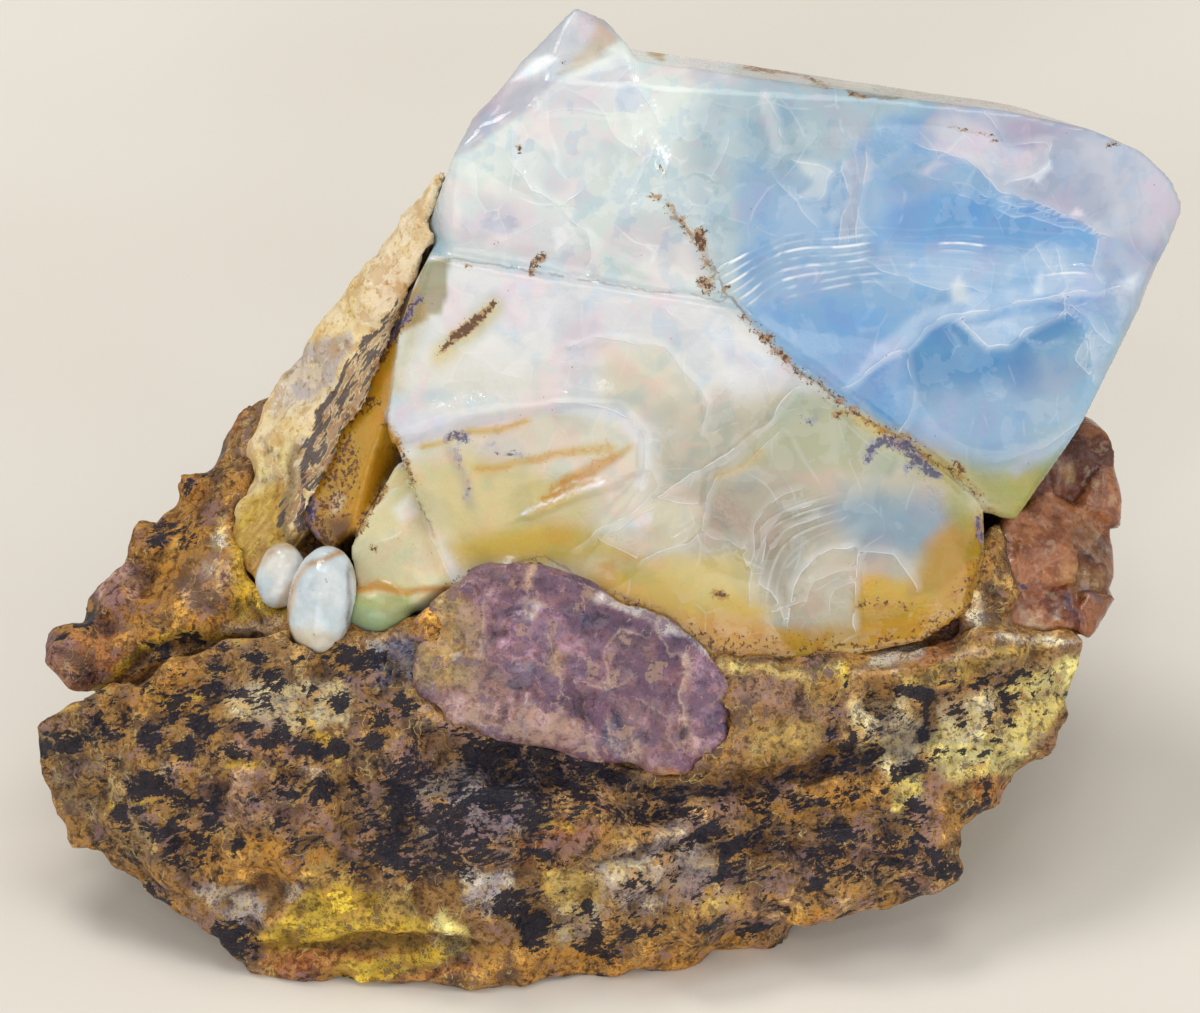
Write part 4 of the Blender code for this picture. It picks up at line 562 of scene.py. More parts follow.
# Black blotches on the rock: middle, half-widths across and up
TAR_BLOTCHES = [
    (-454, -200, 2.2, 0.9), (-433, -190, 1.1, 0.8), (-418, -198, 0.7, 0.6), (-375, -128, 0.9, 0.6),
    (-386, -119, 0.6, 0.35), (-351, -114, 1, 0.35), (-367, -24, 1.6, 1), (-377, -18, 0.9, 0.8),
    (-350, 16, 0.5, 0.5), (-339, 31, 0.4, 0.5), (-327, 48, 0.4, 0.7), (-330, -136, 0.7, 1),
    (-334, -157, 0.8, 0.9), (-309, -162, 0.8, 0.4), (-386, -159, 0.9, 0.6), (-364, -166, 1.2, 0.9),
    (-369, -181, 0.8, 0.7), (-343, -187, 0.9, 0.9), (-387, -200, 0.9, 1.2), (-356, -207, 0.9, 0.7),
    (-281, -150, 0.9, 1), (-291, -166, 0.7, 0.8), (-300, -190, 1.1, 0.5), (-274, -196, 1, 0.7),
    (-290, -202, 0.8, 0.4), (-249, -210, 1.4, 0.6), (-261, -202, 0.8, 0.4), (-312, -210, 1.1, 0.6),
    (-225, -207, 0.7, 0.5), (-223, -166, 0.7, 0.8), (-387, -239, 1.7, 1), (-379, -228, 0.9, 0.7),
    (-362, -252, 1.4, 0.7), (-403, -262, 1.4, 0.6), (-339, -256, 1.1, 0.6), (-266, -239, 1.2, 0.9),
    (-238, -241, 1, 0.8), (-298, -253, 0.7, 0.5), (-283, -270, 0.7, 0.6), (-377, -277, 1.4, 0.9),
    (-351, -294, 1.6, 1.2), (-330, -273, 0.8, 0.8), (-309, -290, 0.6, 0.5), (-386, -327, 0.9, 0.6),
    (-375, -342, 0.7, 0.5), (-315, -373, 1.7, 1.3), (-330, -380, 1, 0.6), (-358, -359, 0.6, 0.6),
    (-463, -114, 0.5, 0.3), (-441, -97, 0.7, 0.4), (-171, -170, 1, 0.8), (-184, -183, 0.9, 0.6),
    (-156, -142, 0.7, 0.5), (-124, -136, 0.7, 0.6), (-133, -110, 0.7, 0.6), (-120, -157, 0.8, 0.4),
    (-197, -132, 1.3, 1), (-219, -123, 0.8, 0.8), (-231, -114, 0.5, 0.5), (-167, -252, 2, 1.4),
    (-137, -294, 1.8, 1.2), (-86, -243, 1.6, 1), (-47, -252, 1.2, 0.6), (-103, -209, 2, 1),
    (-184, -294, 1.3, 1.2), (-51, -209, 1.2, 0.7), (-9, -222, 1, 0.5), (-480, -207, 1.2, 0.6),
    (-489, -190, 0.4, 0.3), (-210, -243, 0.7, 0.7), (-195, -200, 0.8, 0.5), (-253, -157, 0.7, 0.5),
    (-257, -132, 0.6, 0.3), (-296, -127, 0.9, 0.4), (-319, -123, 0.5, 0.3), (-159, -46, 0.1, 0.1),
    (-124, -54, 0.6, 0.5), (-156, -77, 0.8, 0.3),
]
# Creases and low ridges of the rock on the display plane: line, half-width, height
ROCK_CREASES = [
    ([-480, -196, -435, -166, -407, -144, -386, -125, -343, -116, -290, -120], 0.5, -0.55),
    ([-435, -157, -407, -134, -386, -114, -343, -106, -290, -108], 0.6, 0.45),
    ([-296, -382, -231, -379, -146, -375, -94, -384], 0.45, -0.7),
    ([-231, -410, -154, -397, -86, -389], 0.4, -0.4),
    ([-290, -370, -257, -337, -219, -324, -171, -342, -146, -359], 0.8, 0.5),
    ([-351, -324, -296, -363], 0.4, -0.4), ([214, -142, 204, -166, 201, -196, 194, -217], 0.35, -0.5),
    ([0, -230, 43, -247, 103, -249, 171, -234, 240, -213], 0.6, -0.6),
    ([-72, -310, -124, -310, -122, -342], 0.4, -0.35), ([0, -305, 86, -290, 171, -293, 257, -305], 0.4, -0.4),
    ([223, -145, 257, -142, 291, -132, 343, -125, 411, -119], 0.5, 0.35),
    ([163, -348, 137, -367, 124, -389], 0.4, -0.4),
    ([-146, -348, -141, -376, -124, -387, -111, -380], 0.35, -0.35),
    ([-317, -222, -333, -253, -309, -281, -264, -270], 0.4, -0.3),
]

# Tints and marks of the smaller pieces
CRUST_TINTS = [
    ("shell", 0.95, 0.8, 0, [-197, 151, -204, 186, -190, 233, -154, 263, -133, 306, -116, 306, -129, 250, -150,
     198, -171, 177]),
    ("honey_brown", 0.8, 0.4, 0, [-137, 198, -159, 186, -175, 138, -201, 81, -227, 40, -247, -18, -219, -29,
     -171, 91, -137, 151]), ("peach", 0.8, 0.4, 0.5, [-124, 293, -132, 254, -144, 220, -159, 190]),
    ("orange", 0.6, 0.3, 0.2, [-124, 293, -130, 263, -141, 228]),
    ("ash", 0.95, 0.4, 0, [-269, 129, -214, 153, -213, 138, -225, 113, -247, 93, -261, 90, -271, 115]),
    ("chalk", 0.85, 0.4, 0, [-273, 115, -259, 90, -244, 91, -227, 108, -231, 96, -257, 74, -283, 74]),
    ("cream", 0.9, 0.8, 0, [-290, 74, -240, 91, -249, 66, -274, 23, -304, -20, -313, 14]),
    ("lemon", 0.7, 0.8, 0, [-300, 40, -266, 57, -266, 6, -300, -20]),
    ("gold", 0.95, 0.8, 0, [-309, 6, -270, 23, -266, -29, -274, -80, -309, -54, -319, -29]),
    ("gold", 0.9, 0.8, 0, [-315, -29, -257, -20, -257, -97, -309, -97, -321, -63]),
    ("umber", 0.7, 0.25, 0.2, [-290, 57, -285, 47, -274, 43]),
    ("umber", 0.7, 0.25, 0.2, [-300, 31, -290, 21, -279, 24]),
    ("umber", 0.6, 0.3, 0.25, [-266, 134, -290, 96, -309, 57, -321, 6]),
    ("russet", 0.8, 0.4, 0.7, [-270, 132, -296, 93, -319, 53, -330, -12]),
    ("orange", 0.6, 0.3, 0.25, [-273, 31, -283, -12, -290, -46]),
    ("orange", 0.6, 0.4, 0, [-266, -46, -290, -80, -315, -80, -309, -46]),
    ("drab", 0.8, 0.3, 0.4, [-257, 57, -270, 6, -266, -29]),
    ("peach", 0.5, 0.5, 0, [-189, 203, -171, 210, -163, 177, -193, 168]),
]
CRUST_SPOTS = [
    ("glazed", 1, 0.35, 0, [-148, 204, -175, 162, -199, 138, -228, 98, -249, 56, -267, 6, -264, -46, -231, -29,
     -213, 31, -178, 74, -154, 134, -137, 186]),
    ("tar", 0.75, 0.3, 0.3, [-153, 191, -175, 162, -200, 142, -229, 99, -250, 56]),
    ("tar", 0.85, 0.3, 0.4, [-229, 99, -250, 56, -255, 23, -254, -16]),
    ("tar", 0.55, 0.3, 0.2, [-171, 177, -214, 120]),
    ("tar", 0.36, 0.4, 0, [-154, 190, -200, 142, -250, 56, -257, -12, -242, -16, -219, 57, -176, 134]),
    ("tar", 0.65, 0.3, 0.25, [-195, 115, -182, 134]), ("tar", 0.65, 0.3, 0.25, [-231, 57, -214, 78]),
    ("tar", 0.6, 0.4, 0.5, [-270, 1, -274, -20]),
    ("glazed", 0.45, 1, 0, [-309, 6, -270, 31, -264, -46, -274, -89, -313, -89, -321, -29]),
]
BEAD_TINTS = [
    ("bead_foot", 0.9, 0.6, 0, [-270, -108, -257, -102, -219, -114, -206, -132, -266, -136]),
    ("bead_foot", 0.7, 0.6, 0, [-290, -37, -266, -33, -264, -46, -274, -59, -290, -59]),
    ("chalk", 0.8, 0.8, 0, [-281, -46, -261, -42, -266, -80, -283, -80]),
    ("chalk", 0.4, 0.8, 0, [-242, -59, -223, -46, -219, -80, -236, -89, -247, -80]),
    ("slate", 0.25, 0.5, 0, [-257, -72, -242, -59, -247, -89, -261, -93]),
    ("honey_brown", 0.85, 0.35, 0.35, [-269, -114, -271, -90, -266, -72, -253, -53, -231, -39, -213, -33]),
    ("umber", 0.9, 0.25, 0.15, [-212, -36, -212, -80, -214, -119]),
    ("honey_brown", 0.7, 0.3, 0.3, [-290, -46, -279, -34, -264, -36]),
]
PURPLE_TINTS = [
    ("ochre", 0.85, 1, 0, [-161, -73, -118, -65, -101, -114, -111, -157, -159, -157]),
    ("peach", 0.5, 0.6, 0, [-168, -171, -111, -161, -34, -176, 0, -196, -34, -204, -103, -196, -163, -190]),
    ("clay", 0.6, 1, 0, [-111, -114, -69, -123, -51, -157, -86, -174, -111, -157]),
    ("mauve", 0.7, 0.5, 0, [-120, -59, -86, -42, -55, -42, -60, -67, -94, -84, -118, -73]),
    ("peach", 0.85, 0.2, 0.25, [-117, -51, -103, -42, -53, -34, -55, -54, -65, -72]),
    ("mauve_light", 0.7, 0.6, 0, [-86, -80, -34, -84, 0, -114, -17, -157, -69, -166, -94, -123]),
    ("plum", 0.75, 0.6, 0, [-34, -85, 17, -90, 69, -114, 77, -132, 51, -142, 9, -123, -26, -106]),
    ("mauve", 0.7, 0.5, 0, [0, -132, 17, -106, 43, -114, 47, -140, 26, -153, 5, -149]),
    ("plum", 0.75, 0.5, 0, [77, -157, 103, -157, 99, -200, 81, -192]),
    ("mauve_light", 0.7, 0.5, 0, [77, -123, 111, -132, 120, -157, 116, -217, 86, -239, 73, -200, 77, -157]),
    ("plum", 0.6, 0.6, 0, [-34, -157, 9, -157, 0, -187, -34, -183]),
    ("mauve", 0.7, 0.6, 0, [17, -166, 69, -166, 77, -209, 43, -234, 17, -200]),
    ("slate", 0.8, 0.3, 0, [7, -185, 19, -180, 22, -209, 15, -217, 9, -204]),
    ("slate", 0.6, 0.5, 0, [-77, -136, -56, -138, -56, -157, -73, -157]),
    ("slate", 0.7, 0.3, 0, [-19, -90, -9, -90, -9, -104, -17, -106]),
    ("peach", 0.6, 0.3, 0, [19, -200, 34, -198, 33, -217, 22, -214]),
    ("orange", 0.7, 0.5, 0, [43, -226, 86, -230, 77, -243, 47, -245]),
    ("chalk", 0.95, 0.25, 0.5, [-3, -80, 21, -82, 43, -90, 58, -104, 77, -111, 93, -127]),
    ("peach", 0.8, 0.25, 0.3, [-9, -204, 10, -233, 39, -245, 86, -240]),
    ("peach", 0.7, 0.25, 0.2, [75, -133, 72, -166, 77, -192]), ("chalk", 0.7, 0.15, 0.15, [70, -185, 82, -186]),
    ("ochre", 0.5, 0.4, 0, [-47, -114, -30, -123, -34, -149, -47, -140]),
    ("chalk", 0.6, 0.2, 0, [-67, -82, -51, -80, -57, -96, -65, -94]),
]
PURPLE_VEILS = [
    (0.8, [75, -130, 70, -157, 72, -183, 84, -207]), (0.6, [5, -149, 3, -127, 15, -108, 34, -111]),
    (0.5, [-9, -152, 9, -156, 26, -145]), (0.5, [-99, -80, -103, -114, -98, -132]),
    (0.6, [111, -140, 118, -166, 117, -217]), (0.5, [47, -97, 58, -123, 77, -132]),
    (0.6, [-63, -90, -65, -84, -55, -78, -48, -84]), (0.5, [-34, -157, -38, -132, -45, -114]),
    (0.7, [9, -185, 14, -207, 22, -217]), (0.4, [34, -166, 60, -180, 65, -209]),
]
BROWN_TINTS = [
    ("russet_dark", 0.6, 0.5, 0, [407, 57, 437, 57, 437, 6, 403, 6, 390, 31]),
    ("rose_brown", 0.7, 0.3, 0, [343, -29, 386, 6, 407, -12, 394, -46, 360, -72, 343, -59]),
    ("rose_brown", 0.8, 0.25, 0, [364, -59, 394, -42, 407, -54, 399, -80, 377, -93]),
    ("russet_dark", 0.7, 0.3, 0, [334, -54, 360, -72, 369, -102, 343, -97]),
    ("ochre", 0.55, 0.5, 0, [393, -46, 441, -54, 429, -80, 407, -76, 394, -63]),
    ("drab", 0.7, 0.4, 0, [399, -20, 424, -12, 439, -46, 416, -46]),
    ("sand", 0.6, 0.3, 0, [420, -12, 439, -42, 442, -59, 429, -37]),
    ("straw", 0.85, 0.25, 0, [396, 31, 408, 35, 410, 21, 399, 18]),
    ("sand", 0.8, 0.2, 0, [406, -8, 413, -6, 413, -13, 407, -14]),
    ("sand", 0.8, 0.2, 0, [387, -90, 396, -89, 394, -99, 389, -99]),
    ("peach", 0.8, 0.15, 0, [372, -89, 379, -88, 379, -96, 373, -96]),
    ("plum", 0.85, 0.3, 0.4, [401, -80, 410, -99]), ("plum", 0.8, 0.3, 0.35, [417, -73, 427, -78]),
    ("lilac_brown", 0.7, 0.5, 0, [327, -13, 351, -18, 350, -33, 329, -33]),
    ("sand", 0.5, 0.4, 0, [360, -89, 381, -102, 394, -114, 360, -114]),
]
BROWN_SPOTS = [
    ("soot", 0.85, 0.5, 0.5, [326, -33, 331, -46, 322, -80]), ("soot", 0.7, 0.3, 0.2, [360, -63, 369, -70]),
    ("soot", 0.7, 0.3, 0.25, [336, -34, 350, -32]), ("soot", 0.6, 0.3, 0.15, [401, -78, 408, -97]),
    ("soot", 0.5, 0.3, 0.15, [410, 62, 417, 60]),
]
BROWN_VEILS = [
    (0.8, [362, -70, 367, -58, 386, -46, 410, -33, 444, -56]), (0.7, [343, -29, 360, -46, 363, -68]),
    (0.6, [386, 6, 403, -8, 396, -33]), (0.6, [393, -48, 399, -67, 411, -102]),
    (0.5, [398, 31, 386, 6, 360, -20]), (0.5, [363, -70, 372, -90, 386, -106]),
    (0.6, [330, -59, 347, -80, 345, -106]), (0.5, [424, 1, 439, -46]),
]
# Relief of the stony surfaces, in millimetres
ROCK_SWELL, ROCK_KNOBS = (6.0, 0.9), (2.4, 0.45)                # grain, height
ROCK_CHIPS = ((5.0, 0.5, 0.9), (2.0, 0.24, 0.50))                # grain, lift and tilt of each facet
CRUST_SWELL, CRUST_KNOBS = (4.0, 0.6), (2.0, 0.40)
PURPLE_SWELL, PURPLE_KNOBS = (3.6, 0.4), (2.3, 0.50)
BROWN_CHIPS = (4.6, 0.45, 2.0)


def colour(name, description, default):
    return FloatVectorProperty(
        name=name, description=description, default=default, size=3, min=0.0, max=1.0, subtype="COLOR"
    )


class OpalColours(bpy.types.PropertyGroup):
    """Colours of the opal and its stains."""

    ivory: colour("Ivory", "Greenish white of the upper left", (0.73, 0.79, 0.75))
    # This white also serves as the painted highlight on the left block.
    snow_and_highlight: colour("Snow and highlight", "White flakes of the upper left", (0.80, 0.84, 0.82))
    # This white also serves as a painted highlight band on the lobe and a faint painted sheen on the upper blue.
    pearl_and_highlight: colour("Pearl and highlight", "Faintly violet white", (0.68, 0.68, 0.73))
    bone: colour("Bone", "Grey white of the lower lobe", (0.70, 0.71, 0.70))
    # This white also serves as painted highlight on the chip, the upper blue and the scoop's lip.
    frost_and_highlight: colour("Frost and highlight", "Inner veils and bright breaks", (0.90, 0.93, 0.97))
    mist: colour("Mist", "Pale grey blue between white and blue", (0.4, 0.53, 0.59))
    dusk: colour("Dusk", "Violet grey shade in the white", (0.40, 0.40, 0.52))
    chip: colour("Chip", "Grey chip at the top left", (0.57, 0.58, 0.61))
    fawn: colour("Fawn", "Beige edge of the chip and the rind", (0.54, 0.45, 0.32))
    sky: colour("Sky", "Blue of the upper window", (0.26, 0.44, 0.66))
    haze_blue: colour("Haze blue", "Milky blue", (0.34, 0.48, 0.65))
    ice: colour("Ice", "Palest blue", (0.46, 0.61, 0.8))
    azure: colour("Azure", "Stronger blue bands", (0.18, 0.39, 0.68))
    deep_azure: colour("Deep azure", "Deepest blue under the pale band", (0.13, 0.32, 0.56))
    lilac: colour("Lilac", "Lilac grey corner", (0.43, 0.48, 0.6))
    sage: colour("Sage", "Greenish grey of the lobe's right part", (0.36, 0.38, 0.24))
    moss: colour("Moss", "Green yellow foot of the blue", (0.33, 0.34, 0.07))
    teal: colour("Teal", "Blue green tint in the lobe", (0.2, 0.31, 0.4))
    cream: colour("Cream", "Warm white of the lobe", (0.64, 0.59, 0.44))
    buff: colour("Buff", "Grey beige of the lobe", (0.46, 0.42, 0.31))
    shade: colour("Shade", "Brown grey depth of the lobe", (0.36, 0.32, 0.24))
    straw: colour("Straw", "Pale yellow of the scoop", (0.60, 0.50, 0.20))
    butter: colour("Butter", "Pale yellow of the left block", (0.66, 0.6, 0.36))
    gold: colour("Gold", "Iron yellow of the foot", (0.54, 0.36, 0.02))
    amber: colour("Amber", "Deep iron yellow", (0.40, 0.23, 0.01))
    honey: colour("Honey", "Orange yellow of the stained flank", (0.52, 0.25, 0.01))
    tangerine: colour("Tangerine", "Orange streaks", (0.50, 0.20, 0.02))
    olive: colour("Olive", "Olive notch under the seam", (0.29, 0.28, 0.15))
    sprout: colour("Sprout", "Green foot of the left block", (0.32, 0.39, 0.14))
    rust: colour("Rust", "Rust spots", (0.09, 0.03, 0.015))
    soot: colour("Soot", "Blue black dendrites", (0.05, 0.05, 0.12))


class RockColours(bpy.types.PropertyGroup):
    """Colours of the host rock, the crust and the smaller minerals."""

    loam: colour("Loam", "Ground colour of the rock", (0.32, 0.19, 0.08))
    russet: colour("Russet", "Red brown of the rock and the brown opal", (0.36, 0.13, 0.04))
    drab: colour("Drab", "Olive brown weathering", (0.25, 0.18, 0.11))
    umber: colour("Umber", "Dark brown", (0.12, 0.07, 0.05))
    orange: colour("Orange", "Orange iron stain", (0.55, 0.29, 0.07))
    ochre: colour("Ochre", "Yellow ochre", (0.6, 0.42, 0.12))
    gold: colour("Gold", "Yellow layers", (0.68, 0.48, 0.06))
    lemon: colour("Lemon", "Pale yellow clay", (0.82, 0.74, 0.32))
    straw: colour("Straw", "Straw yellow", (0.72, 0.58, 0.24))
    sand: colour("Sand", "Cream clay", (0.76, 0.68, 0.46))
    peach: colour("Peach", "Pale pinkish rim", (0.74, 0.54, 0.38))
    chalk: colour("Chalk", "White powder", (0.76, 0.72, 0.68))
    clay: colour("Clay", "Pinkish tan clay", (0.44, 0.28, 0.20))
    rosy: colour("Rosy", "Rosy brown", (0.34, 0.20, 0.17))
    ash: colour("Ash", "Grey white quartz lumps", (0.55, 0.49, 0.48))
    mauve: colour("Mauve", "Purple brown lumps", (0.32, 0.19, 0.2))
    mauve_light: colour("Light mauve", "Paler purple", (0.46, 0.28, 0.35))
    plum: colour("Plum", "Dark purple", (0.14, 0.07, 0.13))
    slate: colour("Slate", "Blue grey skin", (0.15, 0.17, 0.27))
    # Painted shade of the recess under the purple patch, over the rock's own dark colour there.
    recess_dark_and_shade: colour("Recess dark and shade", "Shadowy blue black recess", (0.07, 0.06, 0.09))
    tar: colour("Tar", "Black manganese skin", (0.008, 0.009, 0.022))
    shell: colour("Shell", "Palest part of the crust", (0.93, 0.79, 0.56))
    cream: colour("Cream", "Ground colour of the crust", (0.9, 0.74, 0.42))
    honey_brown: colour("Honey brown", "Stained edge of the crust", (0.44, 0.22, 0.03))
    chalcedony: colour("Chalcedony", "Ground colour of the purple patch", (0.27, 0.14, 0.19))
    russet_dark: colour("Dark russet", "Shaded brown opal", (0.24, 0.09, 0.05))
    rose_brown: colour("Rose brown", "Paler brown opal", (0.43, 0.17, 0.07))
    lilac_brown: colour("Lilac brown", "Greyish brown opal", (0.33, 0.22, 0.22))
    bead: colour("Bead", "Milky blue beads", (0.52, 0.62, 0.66))
    bead_foot: colour("Bead foot", "Creamy foot of the beads", (0.60, 0.52, 0.36))


class SpecimenSizes(bpy.types.PropertyGroup):
    """Grain of the fine surfaces, and the stage."""

    opal_grain: FloatProperty(
        name="Opal grain", description="Size of the opal's mesh cells", default=0.00037, min=0.00037,
        subtype="DISTANCE", unit="LENGTH",
    )
    rock_grain: FloatProperty(
        name="Rock grain", description="Size of the rock's mesh cells", default=0.00046, min=0.00046,
        subtype="DISTANCE", unit="LENGTH",
    )
    small_grain: FloatProperty(
        name="Small grain", description="Size of the mesh cells on the smaller minerals", default=0.0003,
        min=0.0002, subtype="DISTANCE", unit="LENGTH",
    )
    floor_size: FloatProperty(
        name="Floor size", description="Width of the floor", default=3.0, min=1.0, subtype="DISTANCE",
        unit="LENGTH",
    )


# ---------------------------------------------------------------- shapes
def add_hull(build, points):
    """Adds the convex hull of points, given in millimetres, to a bmesh."""
    corners = [build.verts.new((Vector(point) + Vector(SHIFT)) * MM) for point in points]
    made = bmesh.ops.convex_hull(build, input=corners)
    spare = {part for part in made["geom_interior"] + made["geom_unused"] if isinstance(part, bmesh.types.BMVert)}
    bmesh.ops.delete(build, geom=list(spare), context="VERTS")


def add_ball(build, middle, halves):
    place = Matrix.Translation((Vector(middle) + Vector(SHIFT)) * MM)
    size = Matrix.Diagonal((*(Vector(halves) * MM), 1.0))
    bmesh.ops.create_icosphere(build, subdivisions=4, radius=1.0, matrix=place @ size)


def new_piece(name, data, slot, *nodes):
    piece = bpy.data.objects.new(name, data)
    bpy.context.scene.collection.objects.link(piece)
    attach(piece, "root")
    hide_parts(*nodes)
    return piece


def apply_modifiers(piece):
    graph = bpy.context.evaluated_depsgraph_get()
    made = bpy.data.meshes.new_from_object(piece.evaluated_get(graph), depsgraph=graph)
    piece.modifiers.clear()
    piece.data = made


def refine(piece, grain, rounds=0):
    """One even skin of small cells, smoothed a given number of rounds."""
    remesh = piece.modifiers.new("refine", "REMESH")
    remesh.mode = "VOXEL"
    remesh.voxel_size = grain
    if rounds:
        smooth = piece.modifiers.new("smooth", "SMOOTH")
        smooth.iterations = rounds
    apply_modifiers(piece)


def swells(points, grain, height):
    """Long soft humps and hollows."""
    return height * np.array([noise.fractal(Vector(point / grain), 0.9, 2.1, 3) for point in points])


def grit(points, height):
    return height * np.array([noise.turbulence(Vector(point / 1.1), 3, True) for point in points])


def knobs(points, grain, height):
    """Nodules with creases between them."""
    heights = np.empty(len(points))
    for index, point in enumerate(points):
        spot = Vector(point / grain)
        near, second = noise.voronoi(spot + noise.noise_vector(spot) * 0.6)[0][:2]
        lumpy = min(max(0.6 + 1.8 * noise.noise(spot / 3.0), 0.15), 1.0)
        heights[index] = height * lumpy * (min(1.6 * (second - near), 1.0) - 0.6 - 0.5 * near * near)
    return heights


def chips(points, grain, lift, tilt):
    """Broken stone: flat facets, each raised and tilted its own way. Hands back heights and a tone for each facet."""
    heights, tones = np.empty(len(points)), np.empty(len(points))
    for index, point in enumerate(points):
        spot = Vector(point / grain)
        spot += noise.noise_vector(spot) * 0.3
        seed = noise.voronoi(spot)[1][0]
        lean = noise.noise_vector(seed * 7.31)
        tones[index] = noise.noise(seed * 3.17)
        heights[index] = lift * tones[index] + tilt * lean.dot(spot - seed)
    return heights, tones


def settle(piece, heights, rounds=1):
    """Raises the surface along its normals and smooths the steps a little."""
    points, normals = read_surface(piece)
    write_surface(piece, neighbours_mean(piece, points + normals * heights[:, None], rounds))


def natural_field(points, grain, start):
    """A cloudy random value for each point, spread evenly from 0 to 1."""
    shift = Vector((start, -start, 2.0 * start))
    values = np.array([noise.fractal(Vector(point / grain) + shift, 0.7, 2.2, 3) for point in points])
    spread = np.empty(len(values))
    spread[np.argsort(values)] = np.linspace(0.0, 1.0, len(values))
    return spread


def lay_fields(piece, points, grains, tones=None):
    """Three cloudy fields for the materials to cut patches from; the last may be the tone of the facets, or the depth
    of the hollows, where some materials paint shade.
    """
    fields = [natural_field(points, grain, 11.3 * index) for index, grain in enumerate(grains)]
    if tones is not None:
        fields.append(np.clip(0.5 + tones, 0.0, 1.0))
    keep_colours(piece, "fields", np.stack(fields, axis=1))
    return fields


def read_surface(piece):
    """The vertices, in millimetres, and their normals."""
    count = len(piece.data.vertices)
    points, normals = np.empty(3 * count, np.float32), np.empty(3 * count, np.float32)
    piece.data.vertices.foreach_get("co", points)
    piece.data.vertices.foreach_get("normal", normals)
    return points.reshape(-1, 3).astype(float) / MM, normals.reshape(-1, 3).astype(float)


def write_surface(piece, points):
    """Moves the vertices, and keeps them inside the solids' box."""
    low = np.array(CAD_LOW) / MM + BOX_MARGIN
    high = np.array(CAD_HIGH) / MM - BOX_MARGIN
    piece.data.vertices.foreach_set("co", (np.clip(points, low, high) * MM).astype(np.float32).ravel())
    piece.data.update()


def carve_dishes(points, normals, dishes):
    """Sinks shell-shaped breaks: shallow bowls with a crisp rim, square to the way they face."""
    for middle, facing, (across, up), height in dishes:
        out = np.array(Vector(facing).normalized())
        side = np.cross((0.0, 0.0, 1.0), out)
        side /= np.linalg.norm(side)
        off = points - np.array(middle) - SHIFT
        reach = np.hypot(off @ side / across, off @ np.cross(out, side) / up)
        bowl = np.clip(1.0 - reach ** 2, 0.0, 1.0)
        near = (np.abs(off @ out) < min(across, up)) & (normals @ out > FACING_SHARE)
        points += out * (height * bowl * near)[:, None]
    return points


def neighbours_mean(piece, values, rounds):
    """Values averaged over the neighbouring vertices, a given number of rounds."""
    edges = np.empty(2 * len(piece.data.edges), np.int32)
    piece.data.edges.foreach_get("vertices", edges)
    first, second = edges[::2], edges[1::2]
    count = len(values)
    degree = np.bincount(first, minlength=count) + np.bincount(second, minlength=count) + 1.0
    for _ in range(rounds):
        total = values.copy()
        for column in range(values.shape[1]):
            total[:, column] += np.bincount(first, values[second, column], count)
            total[:, column] += np.bincount(second, values[first, column], count)
        values = total / degree[:, None]
    return values


def hollows(piece, rounds, depth):
    """How far each vertex lies under its surroundings: 0 on crests, 1 in the depths of pits."""
    points, normals = read_surface(piece)
    sink = ((neighbours_mean(piece, points, rounds) - points) * normals).sum(axis=1)
    return np.clip(0.5 + sink / depth, 0.0, 1.0)


def gap_to(points, nodes, furthest):
    """Distance from each point to the nearest of the given solids, in millimetres."""
    found = np.full(len(points), furthest)
    for node in nodes:
        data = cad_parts[node].data
        tree = BVHTree.FromPolygons([v.co for v in data.vertices], [p.vertices for p in data.polygons])
        low, high = (np.array(corner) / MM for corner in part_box(node))
        close = np.flatnonzero(((points > low - furthest) & (points < high + furthest)).all(axis=1))
        for index in close:
            away = tree.find_nearest(Vector(points[index]) * MM, furthest * MM)[3]
            if away is not None:
                found[index] = min(found[index], away / MM)
    return found


# ---------------------------------------------------------------- markings
def soft_step(share):
    share = np.clip(share, 0.0, 1.0)
    return share * share * (3.0 - 2.0 * share)


def on_display(points):
    """Where each point is seen on the display plane: across and up, in millimetres."""
    off = points - EYE
    scale = DISPLAY_REACH / (off @ INWARD)
    return (points - AIM) @ ACROSS * scale, (points - AIM) @ UP * scale


def wander(points, grain, reach):
    """A smooth random drift for each point, in millimetres."""
    drift = np.array([noise.noise_vector(Vector(point / grain)) for point in points])
    return drift[:, 0] * reach, drift[:, 1] * reach


def pairs(flat):
    """Points on the display plane, in millimetres, from a laid list: across, up, across, up, in tenths."""
    return list(zip(np.array(flat[::2]) / TENTHS, np.array(flat[1::2]) / TENTHS))


def line_gap(across, up, line):
    """Distance to a line on the display plane, and the side of it: plus on its left."""
    nearest, side = np.full(len(across), np.inf), np.ones(len(across))
    for (x0, y0), (x1, y1) in zip(line, line[1:]):
        dx, dy = x1 - x0, y1 - y0
        share = np.clip(((across - x0) * dx + (up - y0) * dy) / (dx * dx + dy * dy + 1e-9), 0.0, 1.0)
        gap = np.hypot(across - x0 - share * dx, up - y0 - share * dy)
        closer = gap < nearest
        side = np.where(closer, np.sign(dx * (up - y0) - dy * (across - x0)), side)
        nearest = np.minimum(nearest, gap)
    return nearest, side


def area_gap(across, up, outline):
    """Distance to an outline on the display plane, less than nothing inside it."""
    ring = outline + outline[:1]
    inside = np.zeros(len(across), bool)
    for (x0, y0), (x1, y1) in zip(ring, ring[1:]):
        if y0 != y1:
            inside ^= ((y0 > up) != (y1 > up)) & (across < x0 + (up - y0) * (x1 - x0) / (y1 - y0))
    return np.where(inside, -1.0, 1.0) * line_gap(across, up, ring)[0]


def mark_weight(across, up, strength, soft, half_width, points):
    line = pairs(points)
    gap = line_gap(across, up, line)[0] - half_width if half_width else area_gap(across, up, line)
    return strength * soft_step(0.5 - gap / (2.0 * soft))


